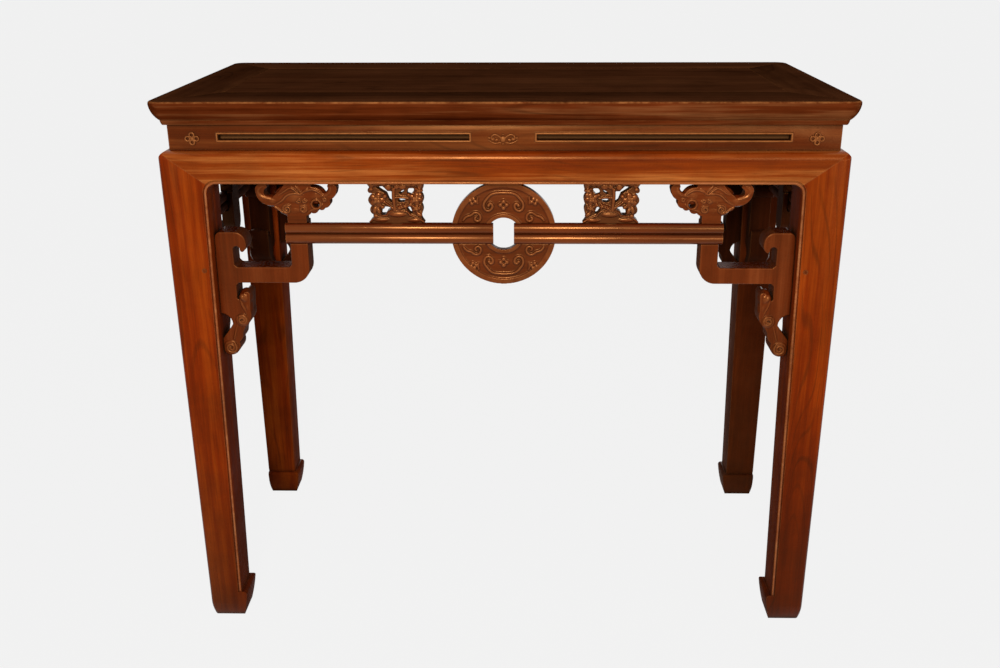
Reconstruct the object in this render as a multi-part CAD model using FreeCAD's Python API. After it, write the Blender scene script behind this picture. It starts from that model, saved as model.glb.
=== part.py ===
import FreeCAD, Part
import math
import os

# Altar table with a waist, hoof feet and a pierced front, in millimetres.
# X runs along the front, Y from the front to the back and Z up.
# The origin is on the floor under the middle of the table.

# Whole table
TABLE_LENGTH = 988.0
TABLE_DEPTH = 488.0
TABLE_HEIGHT = 842.0

# Top: a mitred frame round a floating panel that rides on battens
TOP_THICKNESS = 34.0
TOP_OVERHANG = 7.8
TOP_CORNER_RADIUS = 20.0
TOP_LONG_WIDTH = 98.0
TOP_END_WIDTH = 84.0
EDGE_ARRIS_RADIUS = 4.0
EDGE_SWEEP_TOP = 6.0
EDGE_SWEEP_HEIGHT = 21.0
EDGE_SWEEP_INSET = 12.5
# Middle of the sweep: in and down as shares of its inset and its height
EDGE_SWEEP_SHARES = (0.50, 0.71)
EDGE_STEP = 1.0
EDGE_FOOT_INSET = 2.5
MITRE_TENON_WIDTH = 30.0
MITRE_TENON_HEIGHT = 10.0
MITRE_TENON_COVER = 26.0

PANEL_THICKNESS = 12.0
PANEL_GAP = 0.4
PANEL_TONGUE = 8.0
PANEL_TONGUE_HEIGHT = 5.0
PANEL_TONGUE_DROP = 5.0
BATTEN_COUNT = 3
BATTEN_WIDTH = 34.0
BATTEN_HEIGHT = 20.0
BATTEN_SPACING = 210.0
DOVETAIL_HEIGHT = 4.0
DOVETAIL_WIDTH = 20.0
DOVETAIL_FLARE = 2.0
BATTEN_TENON_LENGTH = 14.0
BATTEN_TENON_HEIGHT = 9.0
BATTEN_TENON_WIDTH = 24.0

# Waist: four boards with sunk slots framed by a bead
WAIST_HEIGHT = 36.0
WAIST_INSET = 13.7
WAIST_THICKNESS = 16.0
WAIST_TONGUE_WIDTH = 5.0
WAIST_TONGUE_HEIGHT = 4.0
SLOT_HEIGHT = 8.0
SLOT_DEPTH = 12.0
SLOT_LENGTH = 354.0
SLOT_MIDDLE_GAP = 95.0
SIDE_SLOT_LENGTH = 262.0
SLOT_BEAD_WIDTH = 3.0
SLOT_BEAD_HEIGHT = 1.2

# Apron: mitred over the legs, with a rounded shoulder and a beaded lower edge
APRON_HEIGHT = 46.0
APRON_THICKNESS = 30.0
SHOULDER_RADIUS = 13.0
APRON_CORNER_RADIUS = 14.0
BEAD_WIDTH = 3.6
GROOVE_WIDTH = 1.8
GROOVE_DEPTH = 1.2

# Legs: square, tapered on their inner faces, ending in inward hoof feet
LEG_TOP_WIDTH = 65.2
LEG_FLOOR_WIDTH = 51.4
LEG_CORNER_RADIUS = 5.0
TOE_REACH = 8.0
TOE_LEDGE_HEIGHT = 45.0
TOE_LEDGE_RADIUS = 5.0
TOE_SOLE_REACH = 1.5
FOOT_TAPER_HEIGHT = 27.0
FOOT_TAPER = 4.0
LEG_TENON_SIZE = 11.0
LEG_TENON_LENGTH = 16.0
LEG_TENON_OFFSET = 9.0

# Openwork: double-roll rails, disc, flower blocks, brackets and ruyi heads
OPENWORK_RECESS = 18.0
RAIL_HEIGHT = 30.5
RAIL_DEPTH = 16.0
RAIL_DROP = 77.0
RAIL_PROUD = 4.0
ROLL_BULGE = 5.0
RAIL_END_OVERRUN = 4.9
RAIL_LAP_DEPTH = 10.0

DISC_APRON_GAP = 1.0
DISC_THICKNESS = 13.0
DISC_HOLE_RADIUS = 24.0
DISC_RIM_WIDTH = 7.0
DISC_RING_WIDTH = 5.0
DISC_FIELD_DEPTH = 1.8
RAIL_STUB = 9.0
DISC_TENON_WIDTH = 36.0

SEAT_TENON_THICKNESS = 7.0
SEAT_TENON_HEIGHT = 6.0
SEAT_TENON_SET = 2.0

FLOWER_SPAN_SHARE = 0.509
FLOWER_PLACE_SHARE = 0.52
FLOWER_THICKNESS = 18.0
FLOWER_TENON_WIDTH = 14.0
# Outline of the plant on its mound: across and up as shares of the block's width and height
FLOWER_START_SHARES = (-0.47, 0.0)
FLOWER_SHARES = (
    ((-0.45, 0.07), (-0.385, 0.125)),
    ((-0.375, 0.20),),
    ((-0.450, 0.31), (-0.400, 0.43)),
    ((-0.475, 0.56), (-0.405, 0.67)),
    ((-0.41, 0.72),),
    ((-0.478, 0.77), (-0.442, 0.845)),
    ((-0.525, 1.0),),
    ((0.455, 1.0),),
    ((0.475, 0.87), (0.425, 0.715)),
    ((0.475, 0.58), (0.435, 0.45)),
    ((0.465, 0.33), (0.420, 0.19)),
    ((0.45, 0.08), (0.495, 0.0)),
)
# Holes between the leaves and flowers: first the long one beside the trunk, in the same shares
FLOWER_HOLE_SHARES = (
    (
        (-0.342, 0.861), (-0.219, 0.880), (-0.137, 0.765), (-0.052, 0.760), (-0.055, 0.479),
        (-0.119, 0.542), (-0.164, 0.698), (-0.242, 0.761), (-0.281, 0.800),
    ),
    ((0.037, 0.714), (0.089, 0.756), (0.147, 0.800), (0.150, 0.756), (0.089, 0.695)),
    ((0.233, 0.832), (0.319, 0.832), (0.311, 0.756), (0.256, 0.666), (0.195, 0.695), (0.201, 0.775)),
    ((0.021, 0.542), (0.089, 0.600), (0.174, 0.590), (0.151, 0.515), (0.068, 0.500)),
    (
        (-0.284, 0.393), (-0.168, 0.397), (-0.089, 0.380), (-0.096, 0.325), (-0.155, 0.288),
        (-0.185, 0.205), (-0.263, 0.205), (-0.247, 0.317),
    ),
    ((0.180, 0.345), (0.240, 0.410), (0.275, 0.298), (0.290, 0.230), (0.232, 0.240)),
)

ARM_BELOW_RAIL = 75.6
ARM_DEPTH = 24.0
BRACKET_REACH = 137.5
BRACKET_THICKNESS = 35.0
LEG_BAR_WIDTH = 26.5
POST_WIDTH = 26.0
ARM_CORNER_RADIUS = 24.0
INNER_CHAMFER = 4.0
HOOK_REACH = 47.0
HOOK_OVER_RAIL = 1.7
TAIL_DROP = 115.0
# Hook over the arm: across as shares of HOOK_REACH, up from the arm as shares of HOOK_RISE
HOOK_START_SHARE = 0.85
HOOK_SHARES = (
    ((0.08, 0.95), (0.19, 1.0)),
    ((0.63, 1.0),),
    ((0.885, 0.91), (0.98, 0.70)),
    ((0.965, 0.545), (0.86, 0.434)),
    ((0.79, 0.46), (0.775, 0.53)),
    ((0.68, 0.60), (0.558, 0.52)),
)
# Tail under the arm: across as shares of HOOK_REACH, down from the arm as shares of TAIL_DROP
TAIL_SHARES = (
    ((0.558, 0.174),),
    ((0.65, 0.235), (0.755, 0.183)),
    ((0.86, 0.122), (0.965, 0.180)),
    ((0.935, 0.383),),
    ((0.905, 0.52), (0.744, 0.60)),
    ((0.665, 0.655), (0.63, 0.722)),
    ((0.58, 0.78), (0.49, 0.815)),
    ((0.477, 0.92), (0.23, 1.0)),
    ((0.06, 0.985), (0.0, 0.93)),
)
TAIL_REJOIN_SHARE = 0.77
NECK_SHARES = (
    ((0.17, 0.665), (0.33, 0.565)),
    ((0.26, 0.48), (0.0, 0.417)),
)
SPIRAL_SHARES = ((0.655, 0.51, 0.20), (0.215, 0.895, 0.23))
SPIRAL_RAISE = 1.2
BRACKET_TENON_THICKNESS = 9.0
BRACKET_TENON_SET = 9.0
BRACKET_TENON_HEIGHT = 40.0
BRACKET_TENON_LIFT = 4.0
BRACKET_TENON_LENGTH = 20.0
FIT = 0.2

HEAD_HALF_WIDTH = 58.5
HEAD_THICKNESS = 20.0
HEAD_STEM_WIDTH = 28.0
HEAD_STEM_HEIGHT = 12.0
HEAD_EYE_RADIUS = 4.8
HEAD_EYE_SHARES = (-0.50, 0.33)
STEM_TENON_WIDTH = 11.0
STEM_TENON_THICKNESS = 6.0
STEM_TENON_SET = 0.5
STEM_TENON_LENGTH = 11.0
# Head over its stem: across as shares of HEAD_HALF_WIDTH, up as shares of its height over the stem
HEAD_START_SHARES = (0.208, 0.0)
HEAD_SHARES = (
    ((0.31, 0.045), (0.375, 0.16)),
    ((0.47, 0.15), (0.55, 0.30)),
    ((0.82, 0.36), (0.975, 0.66)),
    ((0.935, 0.88), (0.79, 0.94)),
    ((0.715, 0.91), (0.69, 0.815)),
    ((0.775, 0.66), (0.68, 0.53)),
    ((0.60, 0.50), (0.54, 0.57)),
    ((0.36, 0.76), (0.22, 1.0)),
    ((-0.37, 1.0),),
    ((-0.40, 0.83),),
    ((-0.56, 0.80), (-0.70, 0.63)),
    ((-0.79, 0.68), (-0.845, 0.78)),
    ((-0.81, 0.90), (-0.89, 0.94)),
    ((-1.0, 0.88), (-1.02, 0.71)),
    ((-0.97, 0.56), (-0.83, 0.46)),
    ((-0.84, 0.30), (-0.72, 0.22)),
    ((-0.64, 0.15), (-0.56, 0.19)),
    ((-0.47, 0.06), (-0.37, 0.075)),
    ((-0.29, 0.0), (-0.208, 0.0)),
)

STRUT_DROP = 38.0
STRUT_HALF_WIDTH = 20.0

PIN_RADIUS = 3.2
PIN_LENGTH = 40.0
PIN_PROUD = 0.6
PIN_EDGE_DISTANCE = 13.0

# Tenons of the end rails in the hooks of their brackets
RAIL_TENON_LENGTH = 8.0
RAIL_TENON_THICKNESS = 6.0
RAIL_TENON_HEIGHT = 9.0
RAIL_TENON_LIFT = 4.0

OVERRUN = 5.0
SMALL = 0.001

# Heights and faces that follow from the sizes above
TOP_UNDERSIDE = TABLE_HEIGHT - TOP_THICKNESS
APRON_TOP = TOP_UNDERSIDE - WAIST_HEIGHT
APRON_BOTTOM = APRON_TOP - APRON_HEIGHT
HALF_LENGTH = TABLE_LENGTH / 2
HALF_DEPTH = TABLE_DEPTH / 2
LEG_FACE_X = HALF_LENGTH - TOP_OVERHANG
LEG_FACE_Y = HALF_DEPTH - TOP_OVERHANG
WAIST_FACE_X = LEG_FACE_X - WAIST_INSET
WAIST_FACE_Y = LEG_FACE_Y - WAIST_INSET
RAIL_CENTRE_HEIGHT = APRON_BOTTOM - RAIL_DROP
RAIL_TOP = RAIL_CENTRE_HEIGHT + RAIL_HEIGHT / 2
RAIL_BOTTOM = RAIL_CENTRE_HEIGHT - RAIL_HEIGHT / 2
OPENWORK_FACE = OPENWORK_RECESS
RAIL_FACE = OPENWORK_RECESS - RAIL_PROUD
DISC_RADIUS = RAIL_DROP - DISC_APRON_GAP
ARM_BOTTOM_HEIGHT = RAIL_CENTRE_HEIGHT - ARM_BELOW_RAIL
ARM_TOP = ARM_BOTTOM_HEIGHT + ARM_DEPTH
HOOK_RISE = RAIL_CENTRE_HEIGHT + HOOK_OVER_RAIL - ARM_TOP
PIN_HEIGHT = ARM_TOP
HEAD_BASE = RAIL_TOP + HEAD_STEM_HEIGHT


def at(x, y, z):
    return FreeCAD.Vector(x, y, z)


def box(low, high):
    """Box between two opposite corners."""
    size = [high[i] - low[i] for i in range(len(low))]
    return Part.makeBox(size[0], size[1], size[2], at(*low))


def outline(start, steps, place):
    """Flat face round a start point and steps: one point in a step is a line, two are an arc."""
    here = place(start)
    edges = []
    for step in tuple(steps) + ((start,),):
        points = [place(point) for point in step]
        if (points[-1] - here).Length > SMALL:
            if len(points) == 1:
                edges.append(Part.LineSegment(here, points[0]).toShape())
            else:
                edges.append(Part.Arc(here, points[0], points[1]).toShape())
        here = points[-1]
    return Part.Face(Part.Wire(edges))


def panel_xz(start, steps, y_front, y_back):
    """Plate parallel to the front, cut to an outline of X and Z."""
    face = outline(start, steps, lambda point: at(point[0], y_front, point[1]))
    return face.extrude(at(0, y_back - y_front, 0))


def panel_yz(start, steps, x_left, x_right):
    """Plate parallel to the ends, cut to an outline of Y and Z."""
    face = outline(start, steps, lambda point: at(x_left, point[0], point[1]))
    return face.extrude(at(x_right - x_left, 0, 0))


def plan(points, z_low, z_high):
    """Upright prism over a plan of straight sides."""
    face = outline(points[0], [(point,) for point in points[1:]], lambda point: at(point[0], point[1], z_low))
    return face.extrude(at(0, 0, z_high - z_low))


def fuse(shapes):
    first = shapes[0]
    if len(shapes) > 1:
        first = first.multiFuse(shapes[1:])
    return first.removeSplitter()


def single(shape):
    """The largest solid of a result, as one solid."""
    return max(shape.Solids, key=lambda solid: solid.Volume)


def flip_x(shape):
    return shape.mirror(at(0, 0, 0), at(1, 0, 0))


def flip_y(shape):
    return shape.mirror(at(0, 0, 0), at(0, 1, 0))


def leg_width(z):
    """Width of a leg at a height: the inner faces lean in from the apron to the floor."""
    return LEG_FLOOR_WIDTH + (LEG_TOP_WIDTH - LEG_FLOOR_WIDTH) * z / APRON_TOP


def head_place(leg_face):
    """Middle of a bracket's post, where the ruyi head stands."""
    return -(leg_face - leg_width(ARM_TOP)) + BRACKET_REACH - POST_WIDTH / 2


def flower_span():
    """Clear way along the rail between a ruyi head and the disc: where it starts and where it ends."""
    return head_place(LEG_FACE_X) + HEAD_HALF_WIDTH, -DISC_RADIUS


def flower_middle():
    """Middle of a flower block, a little nearer to the disc than to the head."""
    low, high = flower_span()
    return low + (high - low) * FLOWER_PLACE_SHARE


def save(node, shape):
    shape.exportStep("parts/" + node + ".step")
    print(node, "solids", len(shape.Solids), "valid", shape.isValid())


# Top frame

def edge_steps(reach):
    """Moulded edge of the top, from the upper face down to the underside, at a reach from a centre."""
    height = TABLE_HEIGHT
    sweep_z = height - EDGE_SWEEP_TOP
    step_z = sweep_z - EDGE_SWEEP_HEIGHT
    foot_z = TOP_UNDERSIDE
    arris = EDGE_ARRIS_RADIUS * (1 - math.sqrt(0.5))
    lean, drop = EDGE_SWEEP_SHARES
    sweep_middle = (reach - EDGE_SWEEP_INSET * lean, sweep_z - EDGE_SWEEP_HEIGHT * drop)
    step_in = reach - EDGE_SWEEP_INSET - EDGE_STEP
    foot_lean = EDGE_FOOT_INSET * (1 - math.sqrt(0.5))
    foot_middle = (step_in - foot_lean, foot_z + (step_z - EDGE_STEP - foot_z) / 2)
    return (
        ((reach - EDGE_ARRIS_RADIUS, height),),
        ((reach - arris, height - arris), (reach, height - EDGE_ARRIS_RADIUS)),
        ((reach, sweep_z),),
        (sweep_middle, (reach - EDGE_SWEEP_INSET, step_z)),
        ((step_in, step_z),),
        ((step_in, step_z - EDGE_STEP),),
        (foot_middle, (step_in - EDGE_FOOT_INSET, foot_z)),
    )


def moulded_slab():
    """Whole slab of the top with its moulding run round the four rounded corners."""
    corner_x = HALF_LENGTH - TOP_CORNER_RADIUS
    corner_y = HALF_DEPTH - TOP_CORNER_RADIUS
    pieces = []
    for side in (-1, 1):
        steps = edge_steps(HALF_DEPTH) + (((0, TOP_UNDERSIDE),),)
        run = outline((0, TABLE_HEIGHT), steps, lambda point: at(-corner_x, side * point[0], point[1]))
        pieces.append(run.extrude(at(2 * corner_x, 0, 0)))
        steps = edge_steps(HALF_LENGTH) + (((0, TOP_UNDERSIDE),),)
        run = outline((0, TABLE_HEIGHT), steps, lambda point: at(side * point[0], -corner_y, point[1]))
        pieces.append(run.extrude(at(0, 2 * corner_y, 0)))
        for end in (-1, 1):
            steps = edge_steps(TOP_CORNER_RADIUS) + (((0, TOP_UNDERSIDE),),)
            centre = at(end * corner_x, side * corner_y, 0)
            run = outline((0, TABLE_HEIGHT), steps, lambda point: centre + at(point[0], 0, point[1]))
            pieces.append(run.revolve(centre, at(0, 0, 1), 360))
    return fuse(pieces)


def top_members(mortises):
    """The two long members and the two end members, mitred, grooved and joined by blind tenons."""
    slab = moulded_slab()
    inner_x = HALF_LENGTH - TOP_END_WIDTH
    inner_y = HALF_DEPTH - TOP_LONG_WIDTH
    tongue_top = TABLE_HEIGHT - PANEL_TONGUE_DROP
    tongue_low = tongue_top - PANEL_TONGUE_HEIGHT
    below = TOP_UNDERSIDE - OVERRUN
    above = TABLE_HEIGHT + OVERRUN
    opening = box((-inner_x, -inner_y, below), (inner_x, inner_y, above))
    groove = box(
        (-inner_x - PANEL_TONGUE - FIT, -inner_y - PANEL_TONGUE - FIT, tongue_low - FIT),
        (inner_x + PANEL_TONGUE + FIT, inner_y + PANEL_TONGUE + FIT, tongue_top + FIT),
    )
    ring = slab.cut(opening).cut(groove)
    out_x = HALF_LENGTH + OVERRUN * TOP_END_WIDTH / TOP_LONG_WIDTH
    out_y = HALF_DEPTH + OVERRUN
    front_plan = ((-out_x, -out_y), (out_x, -out_y), (inner_x, -inner_y), (-inner_x, -inner_y))
    front_region = plan(front_plan, below, above)
    front = single(ring.common(front_region))
    ends = ring.cut(front_region).cut(flip_y(front_region))
    left = single(ends.common(box((-HALF_LENGTH - OVERRUN, -out_y, below), (0, out_y, above))))
    tenon_x = (HALF_LENGTH + inner_x) / 2
    tenon_z = (TOP_UNDERSIDE + TABLE_HEIGHT) / 2
    tenon = box(
        (-tenon_x - MITRE_TENON_WIDTH / 2, -HALF_DEPTH + MITRE_TENON_COVER, tenon_z - MITRE_TENON_HEIGHT / 2),
        (-tenon_x + MITRE_TENON_WIDTH / 2, -inner_y, tenon_z + MITRE_TENON_HEIGHT / 2),
    )
    tongue = tenon.common(front)
    left = single(fuse([left, tongue, flip_y(tongue)]))
    front = front.cut(tenon).cut(flip_x(tenon))
    for mortise in mortises:
        front = front.cut(mortise)
        left = left.cut(mortise)
    front = single(front)
    left = single(left)
    save("top_rail_front", front)
    save("top_rail_back", flip_y(front))
    save("top_end_left", left)
    save("top_end_right", flip_x(left))


def batten_key(x, depth, slack):
    """Sliding dovetail between a batten and the panel over it."""
    low = TABLE_HEIGHT - PANEL_THICKNESS
    narrow = DOVETAIL_WIDTH / 2 + slack
    wide = narrow + DOVETAIL_FLARE
    high = low + DOVETAIL_HEIGHT + slack
    steps = (((x - wide, high),), ((x + wide, high),), ((x + narrow, low),))
    return panel_xz((x - narrow, low), steps, -depth, depth)


def batten_places():
    return [BATTEN_SPACING * (i - (BATTEN_COUNT - 1) / 2) for i in range(BATTEN_COUNT)]


def batten_tenon(x, slack):
    """Tenons of a batten, run through from the front member to the back one."""
    low = TABLE_HEIGHT - PANEL_THICKNESS - (BATTEN_HEIGHT + BATTEN_TENON_HEIGHT) / 2
    reach = HALF_DEPTH - TOP_LONG_WIDTH + BATTEN_TENON_LENGTH + slack
    return box(
        (x - BATTEN_TENON_WIDTH / 2 - slack, -reach, low - slack),
        (x + BATTEN_TENON_WIDTH / 2 + slack, reach, low + BATTEN_TENON_HEIGHT + slack),
    )


def panel_and_battens():
    inner_x = HALF_LENGTH - TOP_END_WIDTH - PANEL_GAP
    inner_y = HALF_DEPTH - TOP_LONG_WIDTH - PANEL_GAP
    tongue_top = TABLE_HEIGHT - PANEL_TONGUE_DROP
    under = TABLE_HEIGHT - PANEL_THICKNESS
    board = box((-inner_x, -inner_y, under), (inner_x, inner_y, TABLE_HEIGHT))
    tongue = box(
        (-inner_x - PANEL_TONGUE, -inner_y - PANEL_TONGUE, tongue_top - PANEL_TONGUE_HEIGHT),
        (inner_x + PANEL_TONGUE, inner_y + PANEL_TONGUE, tongue_top),
    )
    panel = fuse([board, tongue])
    names = ("left", "middle", "right")
    for name, x in zip(names, batten_places()):
        panel = panel.cut(batten_key(x, HALF_DEPTH, FIT))
        half = BATTEN_WIDTH / 2
        body = box((x - half, -inner_y, under - BATTEN_HEIGHT), (x + half, inner_y, under))
        batten = fuse([body, batten_key(x, inner_y - PANEL_TONGUE, 0), batten_tenon(x, 0)])
        save("top_batten_" + name, single(batten))
    save("top_panel", single(panel))


# Waist

def waist_tongue(face_x, face_y, slack):
    """Tongue above and below a waist board, between its mitred ends."""
    middle = face_y - WAIST_THICKNESS / 2
    half = WAIST_TONGUE_WIDTH / 2 + slack
    reach = face_x - WAIST_THICKNESS
    return box(
        (-reach, -middle - half, APRON_TOP - WAIST_TONGUE_HEIGHT - slack),
        (reach, -middle + half, TOP_UNDERSIDE + WAIST_TONGUE_HEIGHT + slack),
    )


def slot_spans(places, length):
    return [(place - length / 2, place + length / 2) for place in places]


def waist_board(face_x, face_y, spans):
    """Waist board facing the front, mitred at both ends, with framed sunk slots over the spans."""
    inner_x = face_x - WAIST_THICKNESS
    inner_y = face_y - WAIST_THICKNESS
    corners = ((-face_x, -face_y), (face_x, -face_y), (inner_x, -inner_y), (-inner_x, -inner_y))
    board = plan(corners, APRON_TOP, TOP_UNDERSIDE)
    board = fuse([board, waist_tongue(face_x, face_y, 0)])
    middle = (APRON_TOP + TOP_UNDERSIDE) / 2
    half = SLOT_HEIGHT / 2
    for low, high in spans:
        frame = box(
            (low - SLOT_BEAD_WIDTH, -face_y - SLOT_BEAD_HEIGHT, middle - half - SLOT_BEAD_WIDTH),
            (high + SLOT_BEAD_WIDTH, -face_y + SLOT_BEAD_HEIGHT, middle + half + SLOT_BEAD_WIDTH),
        )
        gap = box((low, -face_y - OVERRUN, middle - half), (high, -face_y + SLOT_DEPTH, middle + half))
        board = fuse([board, frame]).cut(gap)
    return single(board)


def turned(shape):
    """A piece that faces the front, turned to face the left end."""
    copy = shape.copy()
    copy.rotate(at(0, 0, 0), at(0, 0, 1), -90)
    return copy


def waist():
    place = (SLOT_MIDDLE_GAP + SLOT_LENGTH) / 2
    front = waist_board(WAIST_FACE_X, WAIST_FACE_Y, slot_spans((-place, place), SLOT_LENGTH))
    left = turned(waist_board(WAIST_FACE_Y, WAIST_FACE_X, slot_spans((0,), SIDE_SLOT_LENGTH)))
    save("waist_front", front)
    save("waist_back", flip_y(front))
    save("waist_left", left)
    save("waist_right", flip_x(left))


# Apron and legs

def corner_middle(face):
    """Point half way round the hollow corner between the apron and a leg, as distance and height."""
    inner = face - leg_width(APRON_BOTTOM)
    lean = APRON_CORNER_RADIUS * (1 - math.sqrt(0.5))
    return (inner - lean, APRON_BOTTOM - lean)


def hollow_middle(inner):
    """Point of the hollow corner half way between its middle and the apron's lower edge."""
    angle = math.pi * 3 / 8
    return (
        inner - APRON_CORNER_RADIUS + APRON_CORNER_RADIUS * math.cos(angle),
        APRON_BOTTOM - APRON_CORNER_RADIUS + APRON_CORNER_RADIUS * math.sin(angle),
    )


def apron_blank(face, front_face, thickness, overrun):
    """Apron facing the front with its mitred ends: a plate of the leg-to-leg outline."""
    inner = face - leg_width(APRON_BOTTOM)
    middle = corner_middle(face)
    bend = hollow_middle(inner)
    straight = inner - APRON_CORNER_RADIUS
    steps = (
        ((face, APRON_TOP + overrun),),
        ((face, APRON_TOP),),
        (middle,),
        (bend, (straight, APRON_BOTTOM)),
        ((-straight, APRON_BOTTOM),),
        ((-bend[0], bend[1]), (-middle[0], middle[1])),
        ((-face, APRON_TOP),),
    )
    return panel_xz((-face, APRON_TOP + overrun), steps, -front_face - overrun, -front_face + thickness)


def shoulder_block():
    """Space under the rounded shoulder that runs round the aprons and the legs."""
    def prism(face, reach, make):
        start = (-face, -OVERRUN)
        low = APRON_TOP - SHOULDER_RADIUS
        bow = SHOULDER_RADIUS * (1 - math.sqrt(0.5))
        flat = face - SHOULDER_RADIUS
        steps = (
            ((-face, low),),
            ((-face + bow, APRON_TOP - bow), (-flat, APRON_TOP)),
            ((flat, APRON_TOP),),
            ((face - bow, APRON_TOP - bow), (face, low)),
            ((face, -OVERRUN),),
        )
        return make(start, steps, -reach - OVERRUN, reach + OVERRUN)
    along = prism(LEG_FACE_Y, LEG_FACE_X, panel_yz)
    across = prism(LEG_FACE_X, LEG_FACE_Y, panel_xz)
    return along.common(across)


def bead_groove(face, front_face):
    """Groove beside the bead on one face: down a leg, round the corner and along the apron."""
    inner = face - leg_width(APRON_BOTTOM)
    ledge = TOE_LEDGE_HEIGHT
    foot_inner = face - leg_width(ledge)
    centre = (inner - APRON_CORNER_RADIUS, APRON_BOTTOM - APRON_CORNER_RADIUS)
    strips = []
    for reach in (BEAD_WIDTH, BEAD_WIDTH + GROOVE_WIDTH):
        radius = APRON_CORNER_RADIUS + reach
        bow = radius * math.sqrt(0.5)
        strips.append((
            (foot_inner + reach, ledge), (centre[0] + radius, centre[1]),
            (centre[0] + bow, centre[1] + bow), (centre[0], centre[1] + radius), (0, centre[1] + radius),
        ))
    near, far = strips
    steps = (
        (near[1],), (near[2], near[3]), (near[4],), (far[4],), (far[3],), (far[2], far[1]), (far[0],),
    )
    return panel_xz(near[0], steps, -front_face - OVERRUN, -front_face + GROOVE_DEPTH)


def aprons(shoulder, cuts):
    for axis_face, cross_face, names, turn, flip in (
        (LEG_FACE_X, LEG_FACE_Y, ("apron_front", "apron_back"), Part.Shape.copy, flip_y),
        (LEG_FACE_Y, LEG_FACE_X, ("apron_left", "apron_right"), turned, flip_x),
    ):
        blank = apron_blank(axis_face, cross_face, APRON_THICKNESS, 0)
        ends = plan((
            (-axis_face, -cross_face), (axis_face, -cross_face),
            (axis_face - APRON_THICKNESS, -cross_face + APRON_THICKNESS),
            (-axis_face + APRON_THICKNESS, -cross_face + APRON_THICKNESS),
        ), 0, TABLE_HEIGHT)
        board = blank.common(ends)
        groove = bead_groove(axis_face, cross_face)
        board = board.cut(groove).cut(flip_x(groove))
        waist_groove = waist_tongue(axis_face - WAIST_INSET, cross_face - WAIST_INSET, FIT)
        board = turn(board.cut(waist_groove)).common(shoulder)
        for name, piece in zip(names, (board, flip(board))):
            for cut in cuts[name]:
                piece = piece.cut(cut)
            save(name, single(piece))


def leg_side(face):
    """Side view of a leg from its outer face inward, with the hoof foot."""
    sole = FOOT_TAPER
    ledge_width = leg_width(TOE_LEDGE_HEIGHT)
    toe = ledge_width + TOE_REACH
    bow = TOE_LEDGE_RADIUS * (1 - math.sqrt(0.5))
    toe_low = TOE_LEDGE_HEIGHT - TOE_LEDGE_RADIUS
    sole_inner = LEG_FLOOR_WIDTH + TOE_SOLE_REACH
    belly = ((toe + sole_inner) / 2 + TOE_SOLE_REACH / 2, toe_low / 2)
    steps = (
        ((face, FOOT_TAPER_HEIGHT),),
        ((face - sole / 4, FOOT_TAPER_HEIGHT / 2), (face - sole, 0)),
        ((face - sole_inner, 0),),
        ((face - belly[0], belly[1]), (face - toe, toe_low)),
        ((face - toe + bow, TOE_LEDGE_HEIGHT - bow), (face - toe + TOE_LEDGE_RADIUS, TOE_LEDGE_HEIGHT)),
        ((face - ledge_width, TOE_LEDGE_HEIGHT),),
        ((face - LEG_TOP_WIDTH, APRON_TOP),),
    )
    return (face, APRON_TOP), steps


def leg_tenons(slack):
    """Two small tenons of the front left leg's post, one into each member of the top."""
    middle_x = -LEG_FACE_X + (APRON_THICKNESS + LEG_TOP_WIDTH) / 2
    middle_y = -LEG_FACE_Y + (APRON_THICKNESS + LEG_TOP_WIDTH) / 2
    half = LEG_TENON_SIZE / 2 + slack
    top = TOP_UNDERSIDE + LEG_TENON_LENGTH + slack
    tenons = []
    for turn in (-1, 1):
        x = middle_x + turn * LEG_TENON_OFFSET
        y = middle_y - turn * LEG_TENON_OFFSET
        tenons.append(box((x - half, y - half, TOP_UNDERSIDE), (x + half, y + half, top)))
    return tenons


def four_ways(shape):
    """A piece of the front left corner at all four corners."""
    return {
        "front_left": shape,
        "front_right": flip_x(shape),
        "back_left": flip_y(shape),
        "back_right": flip_x(flip_y(shape)),
    }


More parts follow.
